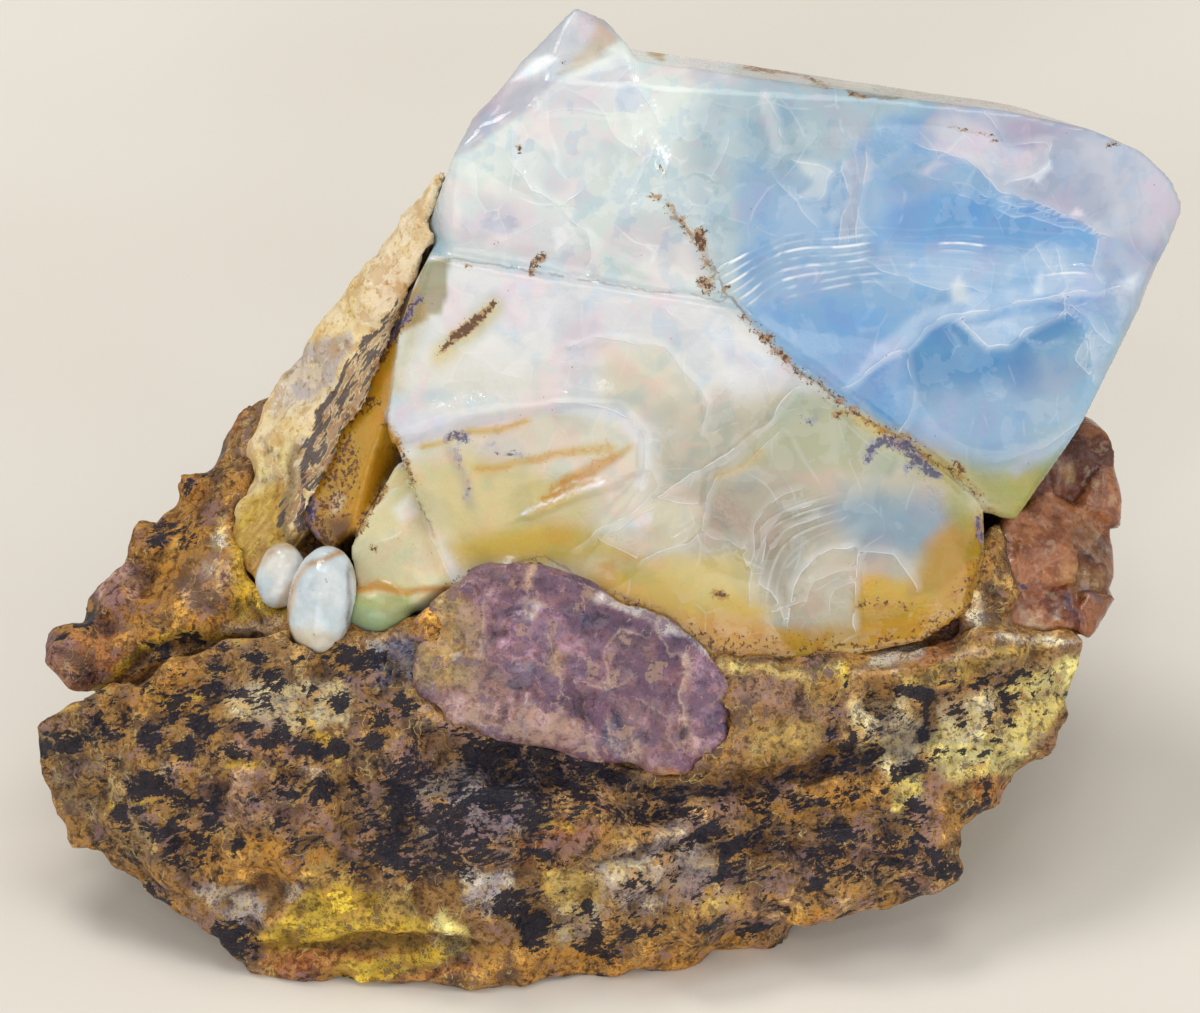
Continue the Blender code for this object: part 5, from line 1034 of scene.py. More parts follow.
def lay_tints(piece, palette, ground, tints, place, facing):
    """The broad colours, one over the other, kept on the vertices as 'tint'."""
    across, up = place
    mixed = np.tile(np.array(getattr(palette, ground)), (len(across), 1))
    for name, strength, soft, half_width, points in tints:
        weight = mark_weight(across, up, strength, soft, half_width, points)
        if half_width:
            weight = weight * facing
        mixed += (np.array(getattr(palette, name)) - mixed) * weight[:, None]
    keep_colours(piece, "tint", mixed)


def lay_spots(piece, spots, kinds, place, facing, blotches=()):
    """How strongly each kind of mark lies at each vertex, one colour channel for each kind."""
    across, up = place
    share = np.zeros((len(across), 3))
    for name, strength, soft, half_width, points in spots:
        channel = kinds.index(name)
        weight = mark_weight(across, up, strength, soft, half_width, points) * facing
        share[:, channel] = np.maximum(share[:, channel], weight)
    for middle_across, middle_up, half_across, half_up in blotches:
        reach = np.hypot((across - middle_across / TENTHS) / half_across, (up - middle_up / TENTHS) / half_up)
        weight = 0.80 * soft_step(1.5 - 0.8 * reach) * facing
        share[:, 0] = np.maximum(share[:, 0], weight)
    return share


def lay_hairlines(piece, name, lines, place, facing):
    """Signed gap to the nearest hairline, plain gap, and that line's strength, kept on the vertices."""
    across, up = place
    kept = np.zeros((len(across), 3))
    kept[:, 1] = HAIR_REACH
    for strength, points in lines:
        gap, side = line_gap(across, up, pairs(points))
        closer = (gap < kept[:, 1]) & (facing > 0.0)
        kept[closer] = np.stack((side * gap, gap, np.full(len(gap), strength) * facing), axis=1)[closer]
    keep_vectors(piece, name, kept)


def keep_colours(piece, name, colours):
    made = piece.data.attributes.new(name, "FLOAT_COLOR", "POINT")
    with_alpha = np.concatenate((colours, np.ones((len(colours), 1))), axis=1)
    made.data.foreach_set("color", with_alpha.astype(np.float32).ravel())


def keep_vectors(piece, name, vectors):
    made = piece.data.attributes.new(name, "FLOAT_VECTOR", "POINT")
    made.data.foreach_set("vector", vectors.astype(np.float32).ravel())


# ---------------------------------------------------------------- shader nodes
class Recipe:
    """Lays shader nodes: each method adds one node, feeds it and hands back its output."""

    def __init__(self, tree):
        self.tree = tree

    def node(self, kind, feeds=None, **settings):
        made = self.tree.nodes.new("ShaderNode" + kind)
        for name, value in settings.items():
            setattr(made, name, value)
        for socket, value in (feeds or {}).items():
            self.feed(made.inputs[socket], value)
        return made

    def feed(self, socket, value):
        if isinstance(value, bpy.types.NodeSocket):
            self.tree.links.new(value, socket)
        else:
            socket.default_value = value

    def maths(self, operation, first, second=0.0):
        return self.node("Math", {0: first, 1: second}, operation=operation).outputs[0]

    def vector(self, operation, first, second=(0.0, 0.0, 0.0)):
        return self.node("VectorMath", {0: first, 1: second}, operation=operation).outputs[0]

    def blend(self, share, first, second, kind="MIX"):
        feeds = {0: share, 6: first, 7: second}
        return self.node("Mix", feeds, data_type="RGBA", blend_type=kind).outputs[2]

    def between(self, share, first, second):
        return self.node("Mix", {0: share, 2: first, 3: second}, data_type="FLOAT").outputs[0]

    def step(self, value, low, high):
        feeds = {"Value": value, "From Min": low, "From Max": high}
        return self.node("MapRange", feeds, interpolation_type="SMOOTHSTEP").outputs[0]

    def noise(self, place, scale, detail=2.0, rough=0.5, warp=0.0):
        feeds = {"Vector": place, "Scale": scale, "Detail": detail, "Roughness": rough, "Distortion": warp}
        return self.node("TexNoise", feeds).outputs[0]

    def cells(self, place, scale, output="Distance", feature="F1"):
        return self.node("TexVoronoi", {"Vector": place, "Scale": scale}, feature=feature).outputs[output]

    def ramp(self, share, hues):
        """Hues laid evenly from 0 to 1."""
        made = self.node("ValToRGB", {0: share})
        stops = made.color_ramp.elements
        for _ in hues[2:]:
            stops.new(0.5)
        for index, hue in enumerate(hues):
            stops[index].position = index / (len(hues) - 1)
            stops[index].color = (*hue, 1.0)
        return made.outputs[0]

    def place(self):
        """Where the shaded point is, in millimetres."""
        spot = self.node("TexCoord").outputs["Object"]
        return self.node("VectorMath", {0: spot, "Scale": 1.0 / MM}, operation="SCALE").outputs[0]

    def slanted(self, place, lean, stretch):
        """A place turned about the depth axis and drawn out, for marks that run one way."""
        feeds = {"Vector": place, "Rotation": (0.0, lean, 0.0), "Scale": stretch}
        return self.node("Mapping", feeds, vector_type="TEXTURE").outputs[0]

    def kept(self, name, output="Vector"):
        return self.node("Attribute", attribute_name=name).outputs[output]

    def parts(self, vector):
        return self.node("SeparateXYZ", {0: vector}).outputs

    def group(self, tree, **feeds):
        made = self.tree.nodes.new("ShaderNodeGroup")
        made.node_tree = tree
        for name, value in feeds.items():
            self.feed(made.inputs[name], value)
        return made.outputs

    def split(self, kept):
        """The three channels of a kept colour."""
        return self.node("SeparateColor", {0: self.kept(kept, "Color")}).outputs

    def deepen(self, base, share, factor):
        """Multiplies a colour by a factor, as far as the share goes."""
        return self.blend(share, base, (*factor, 1.0), "MULTIPLY")

    def tint(self, base, share, hue, strength=1.0):
        """Blends a colour in, as far as the share times the strength goes."""
        share = share if strength == 1.0 else self.maths("MULTIPLY", share, strength)
        return self.blend(share, base, (*hue, 1.0))


def shader_group(name, inputs, outputs):
    """An empty node group with named sockets. Each input is a name, a kind and its value."""
    tree = bpy.data.node_groups.new(name, "ShaderNodeTree")
    for label, kind, value in inputs:
        socket = tree.interface.new_socket(label, in_out="INPUT", socket_type="NodeSocket" + kind)
        socket.default_value = value
    for label, kind in outputs:
        tree.interface.new_socket(label, in_out="OUTPUT", socket_type="NodeSocket" + kind)
    return tree, Recipe(tree), tree.nodes.new("NodeGroupInput").outputs, tree.nodes.new("NodeGroupOutput").inputs


def patch_group():
    """Breaks a soft share up into crisp natural patches with frayed edges."""
    inputs = [("Share", "Float", 0.5), ("Field", "Float", 0.5), ("Fray", "Float", 0.5), ("Wild", "Float", 1.0),
              ("Edge", "Float", 0.04)]
    tree, lay, given, put = shader_group("Natural Patches", inputs, [("Mask", "Float")])
    frayed = lay.maths("MULTIPLY", lay.maths("SUBTRACT", given["Fray"], 0.5), given["Wild"])
    spare = lay.maths("ADD", lay.maths("SUBTRACT", given["Share"], given["Field"]), frayed)
    mask = lay.step(spare, lay.maths("MULTIPLY", given["Edge"], -1.0), given["Edge"])
    lay.feed(put["Mask"], lay.maths("MULTIPLY", mask, lay.step(given["Share"], 0.0, 0.08)))
    return tree


def hairline_group():
    """Draws the kept hairlines with a given half-width, broken here and there, and marks one side of each, where the
    veils get painted light and the seams painted shade.
    """
    inputs = [("Line", "Vector", (9.0, 9.0, 0.0)), ("Width", "Float", 0.1), ("Drift", "Float", 0.5),
              ("Loud", "Float", 0.5), ("Sway", "Float", 0.5)]
    tree, lay, given, put = shader_group("Hairlines", inputs, [("Mask", "Float"), ("Step Shading", "Float")])
    signed, gap, strength = lay.parts(given["Line"])
    sway = lay.maths("MULTIPLY", lay.maths("SUBTRACT", given["Drift"], 0.5), given["Sway"])
    wobble = lay.maths("ADD", signed, sway)
    width = lay.maths("MULTIPLY", given["Width"], lay.maths("ADD", 0.4, given["Loud"]))
    thread = lay.maths("SUBTRACT", 1.0, lay.step(lay.maths("DIVIDE", lay.maths("ABSOLUTE", wobble), width), 0.3, 1.0))
    near = lay.maths("SUBTRACT", 1.0, lay.step(gap, 0.6, 0.9))
    breaks = lay.step(given["Loud"], 0.38, 0.48)
    shown = lay.maths("MULTIPLY", near, strength)
    lay.feed(put["Mask"], lay.maths("MULTIPLY", lay.maths("MULTIPLY", thread, breaks), shown))
    side = lay.maths("MULTIPLY", lay.step(wobble, -0.02, 0.06), lay.maths("SUBTRACT", 1.0, lay.step(gap, 0.0, 0.9)))
    lay.feed(put["Step Shading"], lay.maths("MULTIPLY", side, shown))
    return tree


def rib_group():
    """Concentric ribs of a shell-shaped break between two radii, drawn out flatter towards the right."""
    inputs = [("Sheet", "Vector", (0.0, 0.0, 0.0)), ("Middle", "Vector", (0.0, 0.0, 0.0)), ("First", "Float", 5.0),
              ("Last", "Float", 9.0), ("Spacing", "Float", 1.0), ("Flatten", "Float", 1.0), ("Drift", "Float", 0.5)]
    tree, lay, given, put = shader_group("Shell Ribs", inputs, [("Height", "Float"), ("Glint", "Float")])
    off = lay.parts(lay.vector("SUBTRACT", given["Sheet"], given["Middle"]))
    across = lay.between(lay.maths("GREATER_THAN", off[0], 0.0), off[0], lay.maths("MULTIPLY", off[0], given["Flatten"]))
    radius = lay.maths("SQRT", lay.maths("ADD", lay.maths("MULTIPLY", across, across),
                                         lay.maths("MULTIPLY", off[1], off[1])))
    radius = lay.maths("ADD", radius, lay.maths("MULTIPLY", lay.maths("SUBTRACT", given["Drift"], 0.5), 2.0))
    ramp = lay.maths("DIVIDE", lay.maths("SUBTRACT", radius, given["First"]), given["Spacing"])
    chance = lay.maths("FRACT", lay.maths("MULTIPLY", lay.maths("FLOOR", ramp), 0.618))
    ramp = lay.maths("FRACT", ramp)
    crest = lay.maths("MULTIPLY", lay.step(ramp, 0.0, 0.75), lay.maths("SUBTRACT", 1.0, lay.step(ramp, 0.75, 1.0)))
    thread = lay.maths("MULTIPLY", lay.step(ramp, 0.45, 0.72), lay.maths("SUBTRACT", 1.0, lay.step(ramp, 0.76, 0.95)))
    inner = lay.step(radius, given["First"], lay.maths("ADD", given["First"], 0.6))
    outer = lay.maths("SUBTRACT", 1.0, lay.step(radius, lay.maths("SUBTRACT", given["Last"], 0.6), given["Last"]))
    lit = lay.parts(given["Sheet"])[2]
    span = lay.maths("MULTIPLY", lay.maths("MULTIPLY", inner, outer), lay.between(chance, 0.25, 1.0))
    lay.feed(put["Height"], lay.maths("MULTIPLY", lay.maths("MULTIPLY", crest, span), lay.step(lit, 0.0, 0.6)))
    lay.feed(put["Glint"], lay.maths("MULTIPLY", lay.maths("MULTIPLY", thread, span), lit))
    return tree


def glass_group():
    """Height of a glassy broken surface."""
    inputs = [("Wave", "Float", 0.25), ("Scratch", "Float", 2.0)]
    tree, lay, given, put = shader_group("Glassy Skin", inputs, [("Height", "Float")])
    place = lay.place()
    wave = lay.maths("MULTIPLY", lay.noise(place, given["Wave"], 2.0, 0.45), 0.5)
    fine = lay.maths("MULTIPLY", lay.noise(place, given["Scratch"], 2.0, 0.6), 0.035)
    lay.feed(put["Height"], lay.maths("ADD", wave, fine))
    return tree


def grains_group():
    """Mineral grains of bent outline: two chance values for each grain."""
    inputs = [("Grain", "Float", 1.0), ("Bend", "Float", 1.0)]
    tree, lay, given, put = shader_group("Mineral Grains", inputs, [("Kind", "Float"), ("Fleck", "Float")])
    place = lay.place()
    swirl = lay.node("TexNoise", {"Vector": place, "Scale": 0.8, "Detail": 2.0}).outputs[1]
    swirl = lay.node("VectorMath", {0: swirl, "Scale": given["Bend"]}, operation="SCALE").outputs[0]
    kind, fleck, _ = lay.parts(lay.cells(lay.vector("ADD", place, swirl), given["Grain"], "Color"))
    lay.feed(put["Kind"], kind)
    lay.feed(put["Fleck"], fleck)
    return tree


def break_group():
    """Old inner breaks of glassy opal: flat flakes of differing shade with thin bright edges."""
    inputs = [("Grain", "Float", 0.2), ("Bend", "Float", 3.0)]
    tree, lay, given, put = shader_group("Inner Breaks", inputs, [("Shade", "Float"), ("Edge", "Float")])
    place = lay.place()
    swirl = lay.node("TexNoise", {"Vector": place, "Scale": 0.09, "Detail": 1.0}).outputs[1]
    swirl = lay.node("VectorMath", {0: swirl, "Scale": given["Bend"]}, operation="SCALE").outputs[0]
    bent = lay.vector("ADD", place, swirl)
    flake = lay.parts(lay.cells(bent, given["Grain"], "Color"))[0]
    rim = lay.cells(bent, given["Grain"], "Distance", "DISTANCE_TO_EDGE")
    lay.feed(put["Shade"], lay.maths("ADD", lay.maths("MULTIPLY", flake, 0.75),
                                     lay.maths("MULTIPLY", lay.step(rim, 0.0, 0.35), 0.25)))
    lay.feed(put["Edge"], lay.maths("SUBTRACT", 1.0, lay.step(rim, 0.0, 0.03)))
    return tree


def grit_group():
    """Height and shade of gritty stone: small knobs and powder."""
    inputs = [("Knobs", "Float", 0.6), ("Powder", "Float", 4.0), ("Height", "Float", 0.3)]
    tree, lay, given, put = shader_group("Stone Grit", inputs, [("Height", "Float"), ("Shade", "Float")])
    place = lay.place()
    small = lay.maths("SUBTRACT", 1.0, lay.cells(place, given["Knobs"]))
    powder = lay.noise(place, given["Powder"], 3.0, 0.7)
    total = lay.maths("ADD", lay.maths("MULTIPLY", small, 0.5), lay.maths("MULTIPLY", powder, 1.1))
    lay.feed(put["Height"], lay.maths("MULTIPLY", total, given["Height"]))
    lay.feed(put["Shade"], lay.maths("SUBTRACT", 1.0, lay.step(total, 0.60, 0.95)))
    return tree


GROUPS = {}


def shared(kind):
    """The shared node group of a kind, built the first time it is asked for."""
    makers = {"patch": patch_group, "hairline": hairline_group, "ribs": rib_group, "glass": glass_group,
              "grit": grit_group, "breaks": break_group, "grains": grains_group}
    if kind not in GROUPS:
        GROUPS[kind] = makers[kind]()
    return GROUPS[kind]


def new_finish(name, **settings):
    """A material with its Principled shader: plain values go straight on the shader's own sockets."""
    material = bpy.data.materials.new(name)
    material.use_nodes = True
    shader = material.node_tree.nodes["Principled BSDF"]
    for socket, value in settings.items():
        shader.inputs[socket.replace("_", " ").replace("Ior", "IOR")].default_value = value
    return material, Recipe(material.node_tree), shader.inputs


def raise_height(lay, height, strength=1.0):
    """A bump from a height in millimetres."""
    feeds = {"Height": height, "Distance": MM, "Strength": strength}
    return lay.node("Bump", feeds).outputs[0]


def opal_finish(colours):
    material, lay, shader = new_finish(
        "blue_opal", Subsurface_Weight=0.22, Subsurface_Scale=0.0012, Subsurface_Radius=(0.8, 0.9, 1.0),
        Coat_Weight=0.15, Coat_Roughness=0.05)
    shader["IOR"].default_value = 1.45
    place, sheet = lay.place(), lay.kept("sheet")
    rust_share, soot_share, veined = lay.split("marks")[:3]
    cloud, wisp, flaw = lay.split("fields")[:3]
    fray = lay.noise(place, 1.4, 3.0, 0.62)
    loud = lay.noise(place, 0.45, 1.0)
    base = lay.kept("tint", "Color")
    # clouds in the milk
    base = lay.deepen(base, lay.maths("MULTIPLY", lay.step(cloud, 0.55, 1.0), 0.8), (0.84, 0.88, 0.93))
    base = lay.deepen(base, lay.step(flaw, 0.55, 0.95), (1.07, 0.95, 0.98))
    base = lay.deepen(base, lay.step(wisp, 0.40, 0.02), (0.92, 1.00, 1.05))
    breaks = lay.group(shared("breaks"), Grain=0.19, Bend=14.0)
    flake = veined
    base = lay.deepen(base, lay.maths("MULTIPLY", lay.step(breaks["Shade"], 0.75, 0.25), flake), (0.84, 0.86, 0.89))
    base = lay.tint(base, lay.maths("MULTIPLY", lay.step(breaks["Shade"], 0.7, 0.95), flake), colours.frost_and_highlight, 0.20)
    edge = lay.maths("MULTIPLY", breaks["Edge"], lay.step(loud, 0.46, 0.58))
    base = lay.tint(base, lay.maths("MULTIPLY", edge, flake), colours.frost_and_highlight, 0.35)
    pale = lay.group(shared("patch"), Share=0.24, Field=flaw, Fray=fray, Wild=0.7)["Mask"]
    base = lay.tint(base, lay.maths("MULTIPLY", pale, flake), colours.frost_and_highlight, 0.22)
    grey = lay.group(shared("patch"), Share=0.20, Field=wisp, Fray=fray, Wild=0.7)["Mask"]
    base = lay.deepen(base, lay.maths("MULTIPLY", grey, flake), (0.88, 0.89, 0.93))
    # laid hairlines with painted step light and shade, threads of iron, and ribs with painted glints
    veil = lay.group(shared("hairline"), Line=lay.kept("veil"), Width=0.095, Sway=0.7, Drift=loud, Loud=loud)
    # painted light on the lit side of each inner veil's step
    base = lay.tint(base, veil["Step Shading"], colours.frost_and_highlight, 0.24)
    base = lay.tint(base, veil["Mask"], colours.frost_and_highlight, 0.52)
    streak = lay.group(shared("hairline"), Line=lay.kept("streak"), Width=0.30, Sway=2.4, Drift=fray, Loud=loud)
    base = lay.tint(base, lay.step(lay.parts(lay.kept("streak"))[1], 0.9, 0.0), colours.gold, 0.35)
    base = lay.tint(base, streak["Mask"], colours.tangerine, 0.45)
    drift = lay.noise(place, 0.12, 1.0)
    upper = lay.group(shared("ribs"), Sheet=sheet, Middle=(24.0, -2.87, 0.0), First=20.6, Last=27.6, Spacing=0.72,
                      Flatten=0.35, Drift=drift)
    lower = lay.group(shared("ribs"), Sheet=sheet, Middle=(21.4, -8.0, 0.0), First=5.6, Last=10.4, Spacing=0.80,
                      Flatten=1.0, Drift=drift)
    glint = lay.maths("ADD", upper["Glint"], lay.maths("MULTIPLY", lower["Glint"], 0.5))
    base = lay.tint(base, lay.maths("MULTIPLY", glint, lay.step(loud, 0.30, 0.46)), (1.0, 1.0, 1.0), 0.95)
    seam = lay.group(shared("hairline"), Line=lay.kept("seam"), Width=0.16, Sway=0.6, Drift=fray, Loud=loud)
    # painted shade on the low side of the seam's step
    base = lay.deepen(base, lay.maths("MULTIPLY", seam["Step Shading"], 0.5), (0.78, 0.74, 0.66))
    base = lay.tint(base, seam["Mask"], colours.rust, 0.60)
    # stains
    base = lay.tint(base, lay.step(rust_share, 0.05, 0.8), colours.gold, 0.45)
    spots = lay.noise(place, 2.6, 3.0, 0.7)
    brown = lay.group(shared("patch"), Share=rust_share, Field=0.42, Fray=fray, Wild=2.2, Edge=0.16)["Mask"]
    base = lay.tint(base, brown, (0.36, 0.15, 0.015), 0.60)
    rust = lay.group(shared("patch"), Share=rust_share, Field=0.56, Fray=spots, Wild=3.2, Edge=0.08)["Mask"]
    base = lay.tint(base, rust, colours.rust, 0.90)
    bruise = lay.group(shared("patch"), Share=soot_share, Field=0.40, Fray=fray, Wild=2.2, Edge=0.22)["Mask"]
    base = lay.tint(base, bruise, (0.20, 0.20, 0.42), 0.45)
    soot = lay.group(shared("patch"), Share=soot_share, Field=0.64, Fray=spots, Wild=3.0, Edge=0.10)["Mask"]
    base = lay.tint(base, soot, colours.soot, 0.80)
    speck = lay.maths("LESS_THAN", lay.cells(place, 0.8), lay.between(lay.step(flaw, 0.6, 0.9), 0.02, 0.055))
    base = lay.tint(base, speck, colours.rust, 0.5)
    lay.feed(shader["Base Color"], base)
    height = lay.group(shared("glass"), Wave=0.12, Scratch=1.6)["Height"]
    height = lay.maths("ADD", height, lay.maths("MULTIPLY", lay.maths("ADD", upper["Height"], lower["Height"]), 0.12))
    height = lay.maths("ADD", height, lay.maths("MULTIPLY", veil["Mask"], 0.05))
    lay.feed(shader["Normal"], raise_height(lay, height, 0.8))
    dull = lay.between(lay.step(fray, 0.42, 0.66), 0.09, 0.24)
    dull = lay.maths("ADD", dull, lay.maths("MULTIPLY", lay.step(veined, 0.15, 0.0), 0.15))
    lay.feed(shader["Roughness"], lay.between(lay.maths("MAXIMUM", rust, soot), dull, 0.6))
    return material


def bead_finish(colours, rock_colours):
    material, lay, shader = new_finish(
        "opal_bead", Subsurface_Weight=0.25, Subsurface_Scale=0.0012, Subsurface_Radius=(0.8, 0.9, 1.0),
        Coat_Weight=0.6, Coat_Roughness=0.04)
    shader["IOR"].default_value = 1.45
    place = lay.place()
    cloud = lay.noise(place, 0.6, 3.0, 0.6)
    base = lay.tint(lay.kept("tint", "Color"), lay.step(cloud, 0.30, 0.70), colours.frost_and_highlight, 0.35)
    fray = lay.noise(place, 1.6, 3.0, 0.6)
    dirt = lay.group(shared("patch"), Share=0.16, Field=0.5, Fray=cloud, Wild=2.0, Edge=0.2)["Mask"]
    base = lay.tint(base, dirt, rock_colours.bead_foot, 0.5)
    dark = lay.group(shared("patch"), Share=0.10, Field=0.5, Fray=fray, Wild=2.0)["Mask"]
    base = lay.tint(base, dark, rock_colours.umber, 0.5)
    lay.feed(shader["Base Color"], base)
    lay.feed(shader["Roughness"], lay.between(lay.step(fray, 0.45, 0.65), 0.08, 0.28))
    height = lay.group(shared("glass"), Wave=0.5, Scratch=3.0)["Height"]
    lay.feed(shader["Normal"], raise_height(lay, height, 0.8))
    return material


def brown_finish(opal_colours, colours):
    material, lay, shader = new_finish(
        "brown_opal", Coat_Weight=0.35, Coat_Roughness=0.14)
    shader["IOR"].default_value = 1.45
    place = lay.place()
    soot_share = lay.split("marks")[1]
    cloud, patchy, tone = lay.split("fields")[:3]
    fray = lay.noise(place, 1.5, 4.0, 0.66)
    base = lay.kept("tint", "Color")
    base = lay.deepen(base, lay.step(tone, 0.50, 0.36), (0.55, 0.45, 0.50))
    base = lay.tint(base, lay.step(tone, 0.52, 0.66), colours.rose_brown, 0.55)
    dark = lay.group(shared("patch"), Share=0.32, Field=cloud, Fray=fray, Wild=2.0, Edge=0.10)["Mask"]
    base = lay.deepen(base, lay.maths("MULTIPLY", dark, 0.8), (0.55, 0.48, 0.55))
    pale = lay.group(shared("patch"), Share=0.05, Field=patchy, Fray=fray, Wild=1.6, Edge=0.06)["Mask"]
    base = lay.tint(base, pale, colours.sand, 0.25)
    base = lay.deepen(base, lay.step(fray, 0.55, 0.40), (0.74, 0.68, 0.70))
    veil = lay.group(shared("hairline"), Line=lay.kept("veil"), Width=0.16, Sway=0.6, Drift=fray, Loud=0.6)
    # painted light on one side of each break's step
    base = lay.tint(base, veil["Step Shading"], colours.rose_brown, 0.5)
    base = lay.tint(base, veil["Mask"], colours.clay, 0.45)
    soot = lay.group(shared("patch"), Share=soot_share, Field=0.5, Fray=fray, Wild=1.8)["Mask"]
    base = lay.tint(base, soot, opal_colours.soot, 0.9)
    lay.feed(shader["Base Color"], base)
    lay.feed(shader["Roughness"], lay.between(lay.step(fray, 0.42, 0.62), 0.16, 0.40))
    height = lay.maths("MULTIPLY", lay.group(shared("glass"), Wave=0.5, Scratch=2.4)["Height"], 1.8)
    lay.feed(shader["Normal"], raise_height(lay, height))
    return material


def purple_finish(colours):
    material, lay, shader = new_finish("purple_chalcedony", Coat_Weight=0.45, Coat_Roughness=0.16)
    shader["IOR"].default_value = 1.5
    place = lay.place()
    cloud, patchy, pit = lay.split("fields")[:3]
    fray = lay.noise(place, 1.5, 4.0, 0.66)
    grains = lay.group(shared("grains"), Grain=0.75, Bend=2.4)
    kind = lay.maths("ADD", lay.between(0.5, grains["Kind"], cloud),
                     lay.maths("MULTIPLY", lay.maths("SUBTRACT", fray, 0.5), 0.5))
    factor = lay.ramp(kind, ((0.28, 0.28, 0.40), (0.58, 0.56, 0.70), (0.80, 0.80, 0.85), (0.95, 0.80, 0.70),
                             (1.10, 1.05, 1.20), (1.6, 1.5, 1.4)))
    base = lay.blend(1.0, lay.kept("tint", "Color"), factor, "MULTIPLY")
    dark = lay.group(shared("patch"), Share=0.20, Field=patchy, Fray=fray, Wild=2.2)["Mask"]
    base = lay.tint(base, dark, colours.plum, 0.7)
    tan = lay.group(shared("patch"), Share=0.10, Field=grains["Fleck"], Fray=fray, Wild=0.8)["Mask"]
    base = lay.tint(base, tan, colours.clay, 0.7)
    veil = lay.group(shared("hairline"), Line=lay.kept("veil"), Width=0.20, Sway=0.8, Drift=fray, Loud=0.6)
    # painted light on one side of each veil's step
    base = lay.tint(base, veil["Step Shading"], colours.mauve_light, 0.4)
    base = lay.tint(base, veil["Mask"], colours.peach, 0.55)
    # painted shade in the hollows
    base = lay.deepen(base, lay.maths("MULTIPLY", lay.step(pit, 0.52, 0.85), 0.85), (0.30, 0.22, 0.26))
    base = lay.deepen(base, lay.step(fray, 0.52, 0.34), (0.60, 0.54, 0.60))
    lay.feed(shader["Base Color"], base)
    lay.feed(shader["Roughness"], lay.between(lay.step(fray, 0.45, 0.62), 0.28, 0.55))
    height = lay.group(shared("grit"), Knobs=1.0, Powder=2.2, Height=0.40)["Height"]
    lay.feed(shader["Normal"], raise_height(lay, height))
    return material


def crust_finish(colours):
    material, lay, shader = new_finish("cream_crust", Coat_Weight=0.08, Coat_Roughness=0.4)
    place = lay.place()
    tar_share, glazed = lay.split("marks")[:2]
    cloud, patchy, pit = lay.split("fields")[:3]
    fray = lay.noise(place, 1.4, 4.0, 0.66)
    base = lay.kept("tint", "Color")
    grains = lay.group(shared("grains"), Grain=0.8, Bend=2.0)
    base = lay.deepen(base, lay.step(grains["Kind"], 0.9, 0.0), (0.90, 0.82, 0.66))
    pale = lay.group(shared("patch"), Share=0.35, Field=cloud, Fray=fray, Wild=1.4, Edge=0.12)["Mask"]
    base = lay.tint(base, lay.maths("MULTIPLY", pale, lay.step(glazed, 0.6, 0.1)), colours.shell, 0.50)
    stain = lay.group(shared("patch"), Share=0.16, Field=patchy, Fray=fray, Wild=1.8, Edge=0.06)["Mask"]
    base = lay.tint(base, stain, colours.orange, 0.45)
    # painted shade in the hollows
    base = lay.deepen(base, lay.maths("MULTIPLY", lay.step(pit, 0.60, 0.95), 0.7), (0.55, 0.36, 0.18))
    slant = lay.noise(lay.slanted(place, 0.62, (0.30, 1.0, 2.2)), 1.0, 3.0, 0.6)
    base = lay.deepen(base, lay.maths("MULTIPLY", glazed, lay.step(slant, 0.56, 0.44)), (0.50, 0.38, 0.40))
    tar = lay.group(shared("patch"), Share=tar_share, Field=0.5, Fray=slant, Wild=3.0, Edge=0.10)["Mask"]
    base = lay.tint(base, tar, (0.05, 0.035, 0.055), 0.90)
    base = lay.deepen(base, lay.step(fray, 0.48, 0.32), (0.72, 0.55, 0.34))
    lay.feed(shader["Base Color"], base)
    lay.feed(shader["Roughness"], lay.between(lay.maths("MAXIMUM", tar, glazed), 0.75, 0.3))
    height = lay.group(shared("grit"), Knobs=0.9, Powder=2.8, Height=0.26)["Height"]
    lay.feed(shader["Normal"], raise_height(lay, height))
    return material


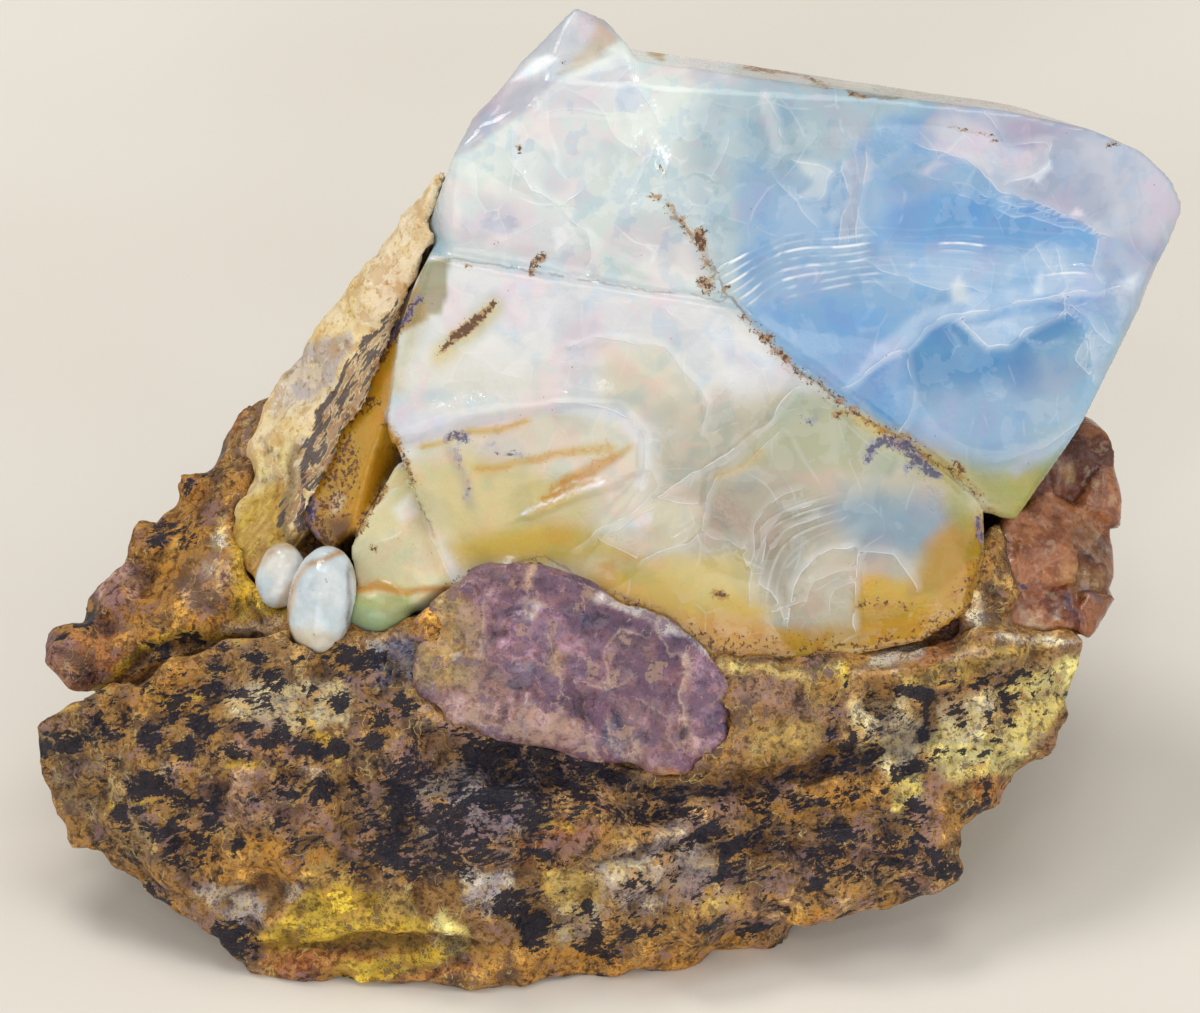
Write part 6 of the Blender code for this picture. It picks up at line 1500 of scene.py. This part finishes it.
def rock_finish(colours):
    material, lay, shader = new_finish("host_rock", Coat_Weight=0.05, Coat_Roughness=0.2)
    shader["IOR"].default_value = 1.38
    place = lay.place()
    tar_share, clean, pit = lay.split("marks")[:3]
    cloud, patchy, thin = lay.split("fields")[:3]
    fray = lay.noise(place, 1.7, 4.0, 0.72)
    grains = lay.group(shared("grains"), Grain=0.62, Bend=2.6)
    kind = lay.maths("ADD", lay.between(0.45, grains["Kind"], cloud),
                     lay.maths("MULTIPLY", lay.maths("SUBTRACT", fray, 0.5), 1.0))
    factor = lay.ramp(kind, ((0.22, 0.24, 0.36), (0.55, 0.52, 0.56), (0.95, 0.90, 0.80), (1.40, 1.22, 0.62),
                             (0.90, 0.95, 1.25), (1.70, 1.70, 1.25), (2.5, 2.6, 2.2)))
    base = lay.blend(lay.between(clean, 1.0, 0.55), lay.kept("tint", "Color"), factor, "MULTIPLY")
    dark = lay.group(shared("patch"), Share=lay.between(clean, 0.20, 0.07), Field=patchy, Fray=fray, Wild=2.6)["Mask"]
    base = lay.tint(base, dark, colours.umber, 0.80)
    rust = lay.group(shared("patch"), Share=0.15, Field=grains["Fleck"], Fray=fray, Wild=1.6)["Mask"]
    base = lay.tint(base, rust, colours.orange, 0.65)
    violet = lay.group(shared("patch"), Share=lay.between(clean, 0.10, 0.03), Field=thin, Fray=fray, Wild=2.2)["Mask"]
    base = lay.tint(base, violet, colours.mauve, 0.60)
    wisp = lay.maths("ABSOLUTE", lay.maths("SUBTRACT", thin, lay.between(0.20, 0.55, fray)))
    wisp = lay.maths("MULTIPLY", lay.maths("SUBTRACT", 1.0, lay.step(wisp, 0.005, 0.035)),
                     lay.step(grains["Fleck"], 0.35, 0.5))
    base = lay.tint(base, wisp, colours.straw, 0.65)
    base = lay.deepen(base, lay.step(fray, 0.54, 0.36), (0.42, 0.36, 0.36))
    # painted shade in the hollows and painted light on the crests
    base = lay.deepen(base, lay.maths("MULTIPLY", lay.step(pit, 0.54, 0.92), 0.80), (0.32, 0.24, 0.20))
    base = lay.deepen(base, lay.maths("MULTIPLY", lay.step(pit, 0.45, 0.15), 0.6), (1.40, 1.32, 1.15))
    chance = lay.between(0.5, grains["Fleck"], patchy)
    sliver = lay.noise(lay.slanted(place, -0.42, (1.5, 0.6, 0.55)), 1.5, 3.0, 0.72)
    tar = lay.group(shared("patch"), Share=tar_share, Field=chance, Fray=sliver, Wild=3.2)["Mask"]
    base = lay.tint(base, tar, colours.tar, 0.95)
    lay.feed(shader["Base Color"], base)
    lay.feed(shader["Roughness"], lay.between(tar, lay.between(lay.step(fray, 0.4, 0.6), 0.75, 0.5), 0.32))
    height = lay.group(shared("grit"), Knobs=0.8, Powder=2.2, Height=0.60)["Height"]
    lay.feed(shader["Normal"], raise_height(lay, height))
    return material


def floor_finish():
    material, lay, shader = new_finish("pale_floor", Roughness=0.8)
    place = lay.place()
    dapple = lay.step(lay.noise(place, 0.02, 1.0), 0.3, 0.7)
    base = lay.blend(dapple, (0.80, 0.755, 0.68, 1.0), (0.84, 0.80, 0.73, 1.0))
    lay.feed(shader["Base Color"], base)
    return material


# ---------------------------------------------------------------- pieces
def dress(piece, material):
    piece.data.materials.clear()
    piece.data.materials.append(material)
    piece.data.shade_smooth()


def surface_facts(piece, wobble_grain=2.2, wobble_reach=0.7):
    """Points, normals, their place on the display plane, and how squarely each faces it."""
    points, normals = read_surface(piece)
    across, up = on_display(points)
    drift = wander(points, wobble_grain, wobble_reach)
    facing = soft_step((-(normals @ INWARD) - 0.02) / 0.16)
    return points, normals, (across + drift[0], up + drift[1]), facing


def crease(piece, lines, reach=2.5):
    """Raises low crests and sinks creases along lines on the display plane, steeper on one side."""
    points, normals = read_surface(piece)
    across, up = on_display(points)
    facing = soft_step((-(normals @ INWARD) - 0.02) / 0.2)
    lift = np.zeros(len(points))
    for line, half_width, height in lines:
        gap, side = line_gap(across, up, pairs(line))
        fall = np.where(side > 0, half_width * reach, half_width * 0.6)
        lift += height * np.exp(-((gap / fall) ** 2)) * facing
    write_surface(piece, points + normals * lift[:, None])


def node_piece(name, slot, grain, rounds, swell):
    """A fine copy of a solid's own skin, smoothed and swollen a little to close its seat."""
    piece = new_piece(name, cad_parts[slot_node(name)].data.copy(), slot, slot_node(name))
    piece.data.materials.clear()
    refine(piece, grain, rounds)
    points, normals = read_surface(piece)
    write_surface(piece, points + normals * swell)
    return piece


def slot_node(name):
    return name.replace("_skin", "")


class SPECIMEN_OT_opal(bpy.types.Operator):
    """Builds the big block of blue and honey opal with its breaks, veils and stains"""

    bl_idname = "specimen.opal"
    bl_label = "Blue Opal"

    def execute(self, context):
        sizes, colours = context.scene.specimen_sizes, context.scene.opal_colours
        build = bmesh.new()
        for lump in (HONEY_LOBE, LEFT_BLOCK, STAINED_FLANK, BLUE_BLOCK, HORN):
            add_hull(build, lump)
        add_ball(build, *GREEN_FOOT)
        bmesh.ops.recalc_face_normals(build, faces=build.faces)
        data = bpy.data.meshes.new("opal_skin")
        build.to_mesh(data)
        build.free()
        opal = new_piece("opal_skin", data, "blue_opal", "opal")
        refine(opal, sizes.opal_grain, 2)
        points, normals = read_surface(opal)
        write_surface(opal, carve_dishes(points, normals, OPAL_DISHES))
        crease(opal, OPAL_CRESTS)
        points, normals = read_surface(opal)
        write_surface(opal, points + normals * swells(points, 8.0, 0.10)[:, None])
        points, normals, place, facing = surface_facts(opal, 2.6, 0.4)
        lay_tints(opal, colours, "mist", OPAL_TINTS, place, facing)
        keep_colours(opal, "marks", lay_spots(opal, OPAL_SPOTS, ("rust", "soot", "veil"), place, facing))
        lay_fields(opal, points, (5.0, 2.6, 4.0))
        for name, lines in (("veil", OPAL_VEILS), ("seam", OPAL_SEAMS), ("streak", OPAL_STREAKS)):
            lay_hairlines(opal, name, lines, place, facing)
        across, up = on_display(points)
        lit = np.zeros(len(points))
        for strength, soft, half_width, line in OPAL_GLINTS:
            lit = np.maximum(lit, mark_weight(across, up, strength, soft, half_width, line))
        keep_vectors(opal, "sheet", np.stack((across, up, lit * facing), axis=1))
        dress(opal, opal_finish(colours))
        return {"FINISHED"}


class SPECIMEN_OT_beads(bpy.types.Operator):
    """Builds the two milky opal beads in the nest at the left"""

    bl_idname = "specimen.beads"
    bl_label = "Opal Beads"

    def execute(self, context):
        sizes, colours = context.scene.specimen_sizes, context.scene.rock_colours
        material = bead_finish(context.scene.opal_colours, colours)
        for name in ("opal_bead_front_skin", "opal_bead_rear_skin"):
            bead = node_piece(name, "opal_bead", sizes.small_grain * 0.8, 10, 0.25)
            points, normals, place, facing = surface_facts(bead)
            lay_tints(bead, colours, "bead", BEAD_TINTS, place, facing)
            dress(bead, material)
        return {"FINISHED"}


class SPECIMEN_OT_brown_opal(bpy.types.Operator):
    """Builds the reddish brown opal at the right"""

    bl_idname = "specimen.brown_opal"
    bl_label = "Brown Opal"

    def execute(self, context):
        sizes, colours = context.scene.specimen_sizes, context.scene.rock_colours
        brown = node_piece("brown_opal_skin", "brown_opal", sizes.small_grain, 1, 0.2)
        heights, tones = chips(read_surface(brown)[0], *BROWN_CHIPS)
        settle(brown, heights)
        points, normals, place, facing = surface_facts(brown)
        lay_tints(brown, colours, "russet", BROWN_TINTS, place, facing)
        keep_colours(brown, "marks", lay_spots(brown, BROWN_SPOTS, ("rust", "soot", "veil"), place, facing))
        lay_fields(brown, points, (3.0, 1.8), tones)
        lay_hairlines(brown, "veil", BROWN_VEILS, place, facing)
        dress(brown, brown_finish(context.scene.opal_colours, colours))
        return {"FINISHED"}


class SPECIMEN_OT_purple_patch(bpy.types.Operator):
    """Builds the patch of purple chalcedony under the honey lobe"""

    bl_idname = "specimen.purple_patch"
    bl_label = "Purple Chalcedony"

    def execute(self, context):
        sizes, colours = context.scene.specimen_sizes, context.scene.rock_colours
        purple = node_piece("purple_chalcedony_skin", "purple_chalcedony", sizes.small_grain, 1, 0.25)
        points = read_surface(purple)[0]
        settle(purple, swells(points, *PURPLE_SWELL) + knobs(points, *PURPLE_KNOBS), 2)
        points, normals, place, facing = surface_facts(purple)
        lay_tints(purple, colours, "chalcedony", PURPLE_TINTS, place, facing)
        lay_hairlines(purple, "veil", PURPLE_VEILS, place, facing)
        # the last field is the depth of each hollow, from which the material paints shade in the hollows
        lay_fields(purple, points, (2.8, 2.0), hollows(purple, 12, 0.5) - 0.5)
        dress(purple, purple_finish(colours))
        return {"FINISHED"}


class SPECIMEN_OT_crust(bpy.types.Operator):
    """Builds the cream crust that climbs the left side of the opal"""

    bl_idname = "specimen.crust"
    bl_label = "Cream Crust"

    def execute(self, context):
        sizes, colours = context.scene.specimen_sizes, context.scene.rock_colours
        crust = node_piece("cream_crust_skin", "cream_crust", sizes.small_grain, 1, 0.25)
        points = read_surface(crust)[0]
        settle(crust, swells(points, *CRUST_SWELL) + knobs(points, *CRUST_KNOBS) + grit(points, 0.1))
        points, normals, place, facing = surface_facts(crust, 2.0, 0.5)
        lay_tints(crust, colours, "cream", CRUST_TINTS, place, facing)
        keep_colours(crust, "marks", lay_spots(crust, CRUST_SPOTS, ("tar", "glazed", "pit"), place, facing))
        # the last field is the depth of each hollow, from which the material paints shade in the hollows
        lay_fields(crust, points, (2.6, 1.8), hollows(crust, 12, 0.5) - 0.5)
        dress(crust, crust_finish(colours))
        return {"FINISHED"}


class SPECIMEN_OT_host_rock(bpy.types.Operator):
    """Builds the weathered host rock with its ochres, its lumps and its black skin"""

    bl_idname = "specimen.host_rock"
    bl_label = "Host Rock"

    def execute(self, context):
        sizes, colours = context.scene.specimen_sizes, context.scene.rock_colours
        build = bmesh.new()
        build.from_mesh(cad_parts["host_rock"].data)
        for lump in ROCK_FILLS:
            add_hull(build, lump)
        data = bpy.data.meshes.new("host_rock_skin")
        build.to_mesh(data)
        build.free()
        rock = new_piece("host_rock_skin", data, "host_rock", "host_rock")
        refine(rock, sizes.rock_grain, 1)
        points, normals = read_surface(rock)
        seats = ("opal", "brown_opal", "purple_chalcedony", "cream_crust", "opal_bead_front", "opal_bead_rear")
        near = soft_step(1.6 - gap_to(points, seats, 2.0))
        write_surface(rock, points + normals * (0.34 * near)[:, None])
        crease(rock, ROCK_CREASES, 1.6)
        points = read_surface(rock)[0]
        chipped = soft_step((points[:, 0] + 22.0) / 10.0)
        heights = swells(points, *ROCK_SWELL) + grit(points, 0.12) + knobs(points, *ROCK_KNOBS) * (1.3 - 0.7 * chipped)
        for grain in ROCK_CHIPS:
            heights += chips(points, *grain)[0] * (0.35 + 0.65 * chipped)
        settle(rock, heights, 1)
        points, normals, place, facing = surface_facts(rock, 1.6, 0.5)
        lay_tints(rock, colours, "loam", ROCK_TINTS, place, facing)
        marks = lay_spots(rock, ROCK_SPOTS, ("tar", "clean", "pit"), place, facing, TAR_BLOTCHES)
        marks[:, 0] = np.maximum(marks[:, 0], 0.22 * (1.0 - facing))
        # the depth of each hollow, from which the rock's material paints shade in the hollows and light on the crests
        marks[:, 2] = hollows(rock, 8, 0.7)
        keep_colours(rock, "marks", marks)
        lay_fields(rock, points, (3.4, 2.2, 2.8))
        dress(rock, rock_finish(colours))
        return {"FINISHED"}


class SPECIMEN_OT_stage(bpy.types.Operator):
    """Lays the pale floor, the soft lights and the camera"""

    bl_idname = "specimen.stage"
    bl_label = "Stage"

    def execute(self, context):
        half = context.scene.specimen_sizes.floor_size / 2
        data = bpy.data.meshes.new("floor")
        data.from_pydata([(-half, -half, 0), (half, -half, 0), (half, half, 0), (-half, half, 0)], [], [(0, 1, 2, 3)])
        floor = bpy.data.objects.new("floor", data)
        context.scene.collection.objects.link(floor)
        floor.data.materials.append(floor_finish())
        for name, place, size, power, hue in LIGHTS:
            lamp = bpy.data.lights.new(name, "AREA")
            lamp.shape, lamp.size, lamp.energy, lamp.color = "DISK", size, power, hue
            holder = bpy.data.objects.new(name, lamp)
            context.scene.collection.objects.link(holder)
            holder.location = place
            holder.rotation_euler = (Vector(AIM * MM) - Vector(place)).to_track_quat("-Z", "Y").to_euler()
        world = bpy.data.worlds.new("soft_room")
        world.use_nodes = True
        sky = world.node_tree.nodes["Background"].inputs
        sky["Color"].default_value = (1.0, 0.985, 0.96, 1.0)
        sky["Strength"].default_value = ROOM_LIGHT
        context.scene.world = world
        context.scene.view_settings.view_transform = "Standard"
        lens = bpy.data.cameras.new("camera")
        lens.sensor_width, lens.lens = 36.0, LENS
        camera = bpy.data.objects.new("camera", lens)
        context.scene.collection.objects.link(camera)
        camera.location = Vector(EYE * MM)
        camera.rotation_euler = (math.pi / 2 - DISPLAY_TILT, 0.0, 0.0)
        context.scene.camera = camera
        return {"FINISHED"}


class SPECIMEN_PT_panel(bpy.types.Panel):
    """Lists the pieces of the specimen"""

    bl_idname = "SPECIMEN_PT_panel"
    bl_label = "Rough Opal Specimen"
    bl_space_type = "VIEW_3D"
    bl_region_type = "UI"
    bl_category = "Opal"

    def draw(self, context):
        for operator in OPERATORS:
            self.layout.operator(operator.bl_idname)
        for group in ("specimen_sizes", "opal_colours", "rock_colours"):
            held = getattr(context.scene, group)
            for name in held.__annotations__:
                self.layout.prop(held, name)


OPERATORS = (
    SPECIMEN_OT_opal, SPECIMEN_OT_beads, SPECIMEN_OT_brown_opal, SPECIMEN_OT_purple_patch, SPECIMEN_OT_crust,
    SPECIMEN_OT_host_rock, SPECIMEN_OT_stage,
)
CLASSES = (OpalColours, RockColours, SpecimenSizes, *OPERATORS, SPECIMEN_PT_panel)


def register():
    for made in CLASSES:
        bpy.utils.register_class(made)
    bpy.types.Scene.opal_colours = PointerProperty(type=OpalColours)
    bpy.types.Scene.rock_colours = PointerProperty(type=RockColours)
    bpy.types.Scene.specimen_sizes = PointerProperty(type=SpecimenSizes)


def unregister():
    del bpy.types.Scene.opal_colours, bpy.types.Scene.rock_colours, bpy.types.Scene.specimen_sizes
    for made in reversed(CLASSES):
        bpy.utils.unregister_class(made)


def main():
    register()
    for operator in OPERATORS:
        family, name = operator.bl_idname.split(".")
        getattr(getattr(bpy.ops, family), name)()
    bpy.context.view_layer.update()


if __name__ == "__main__":
    main()
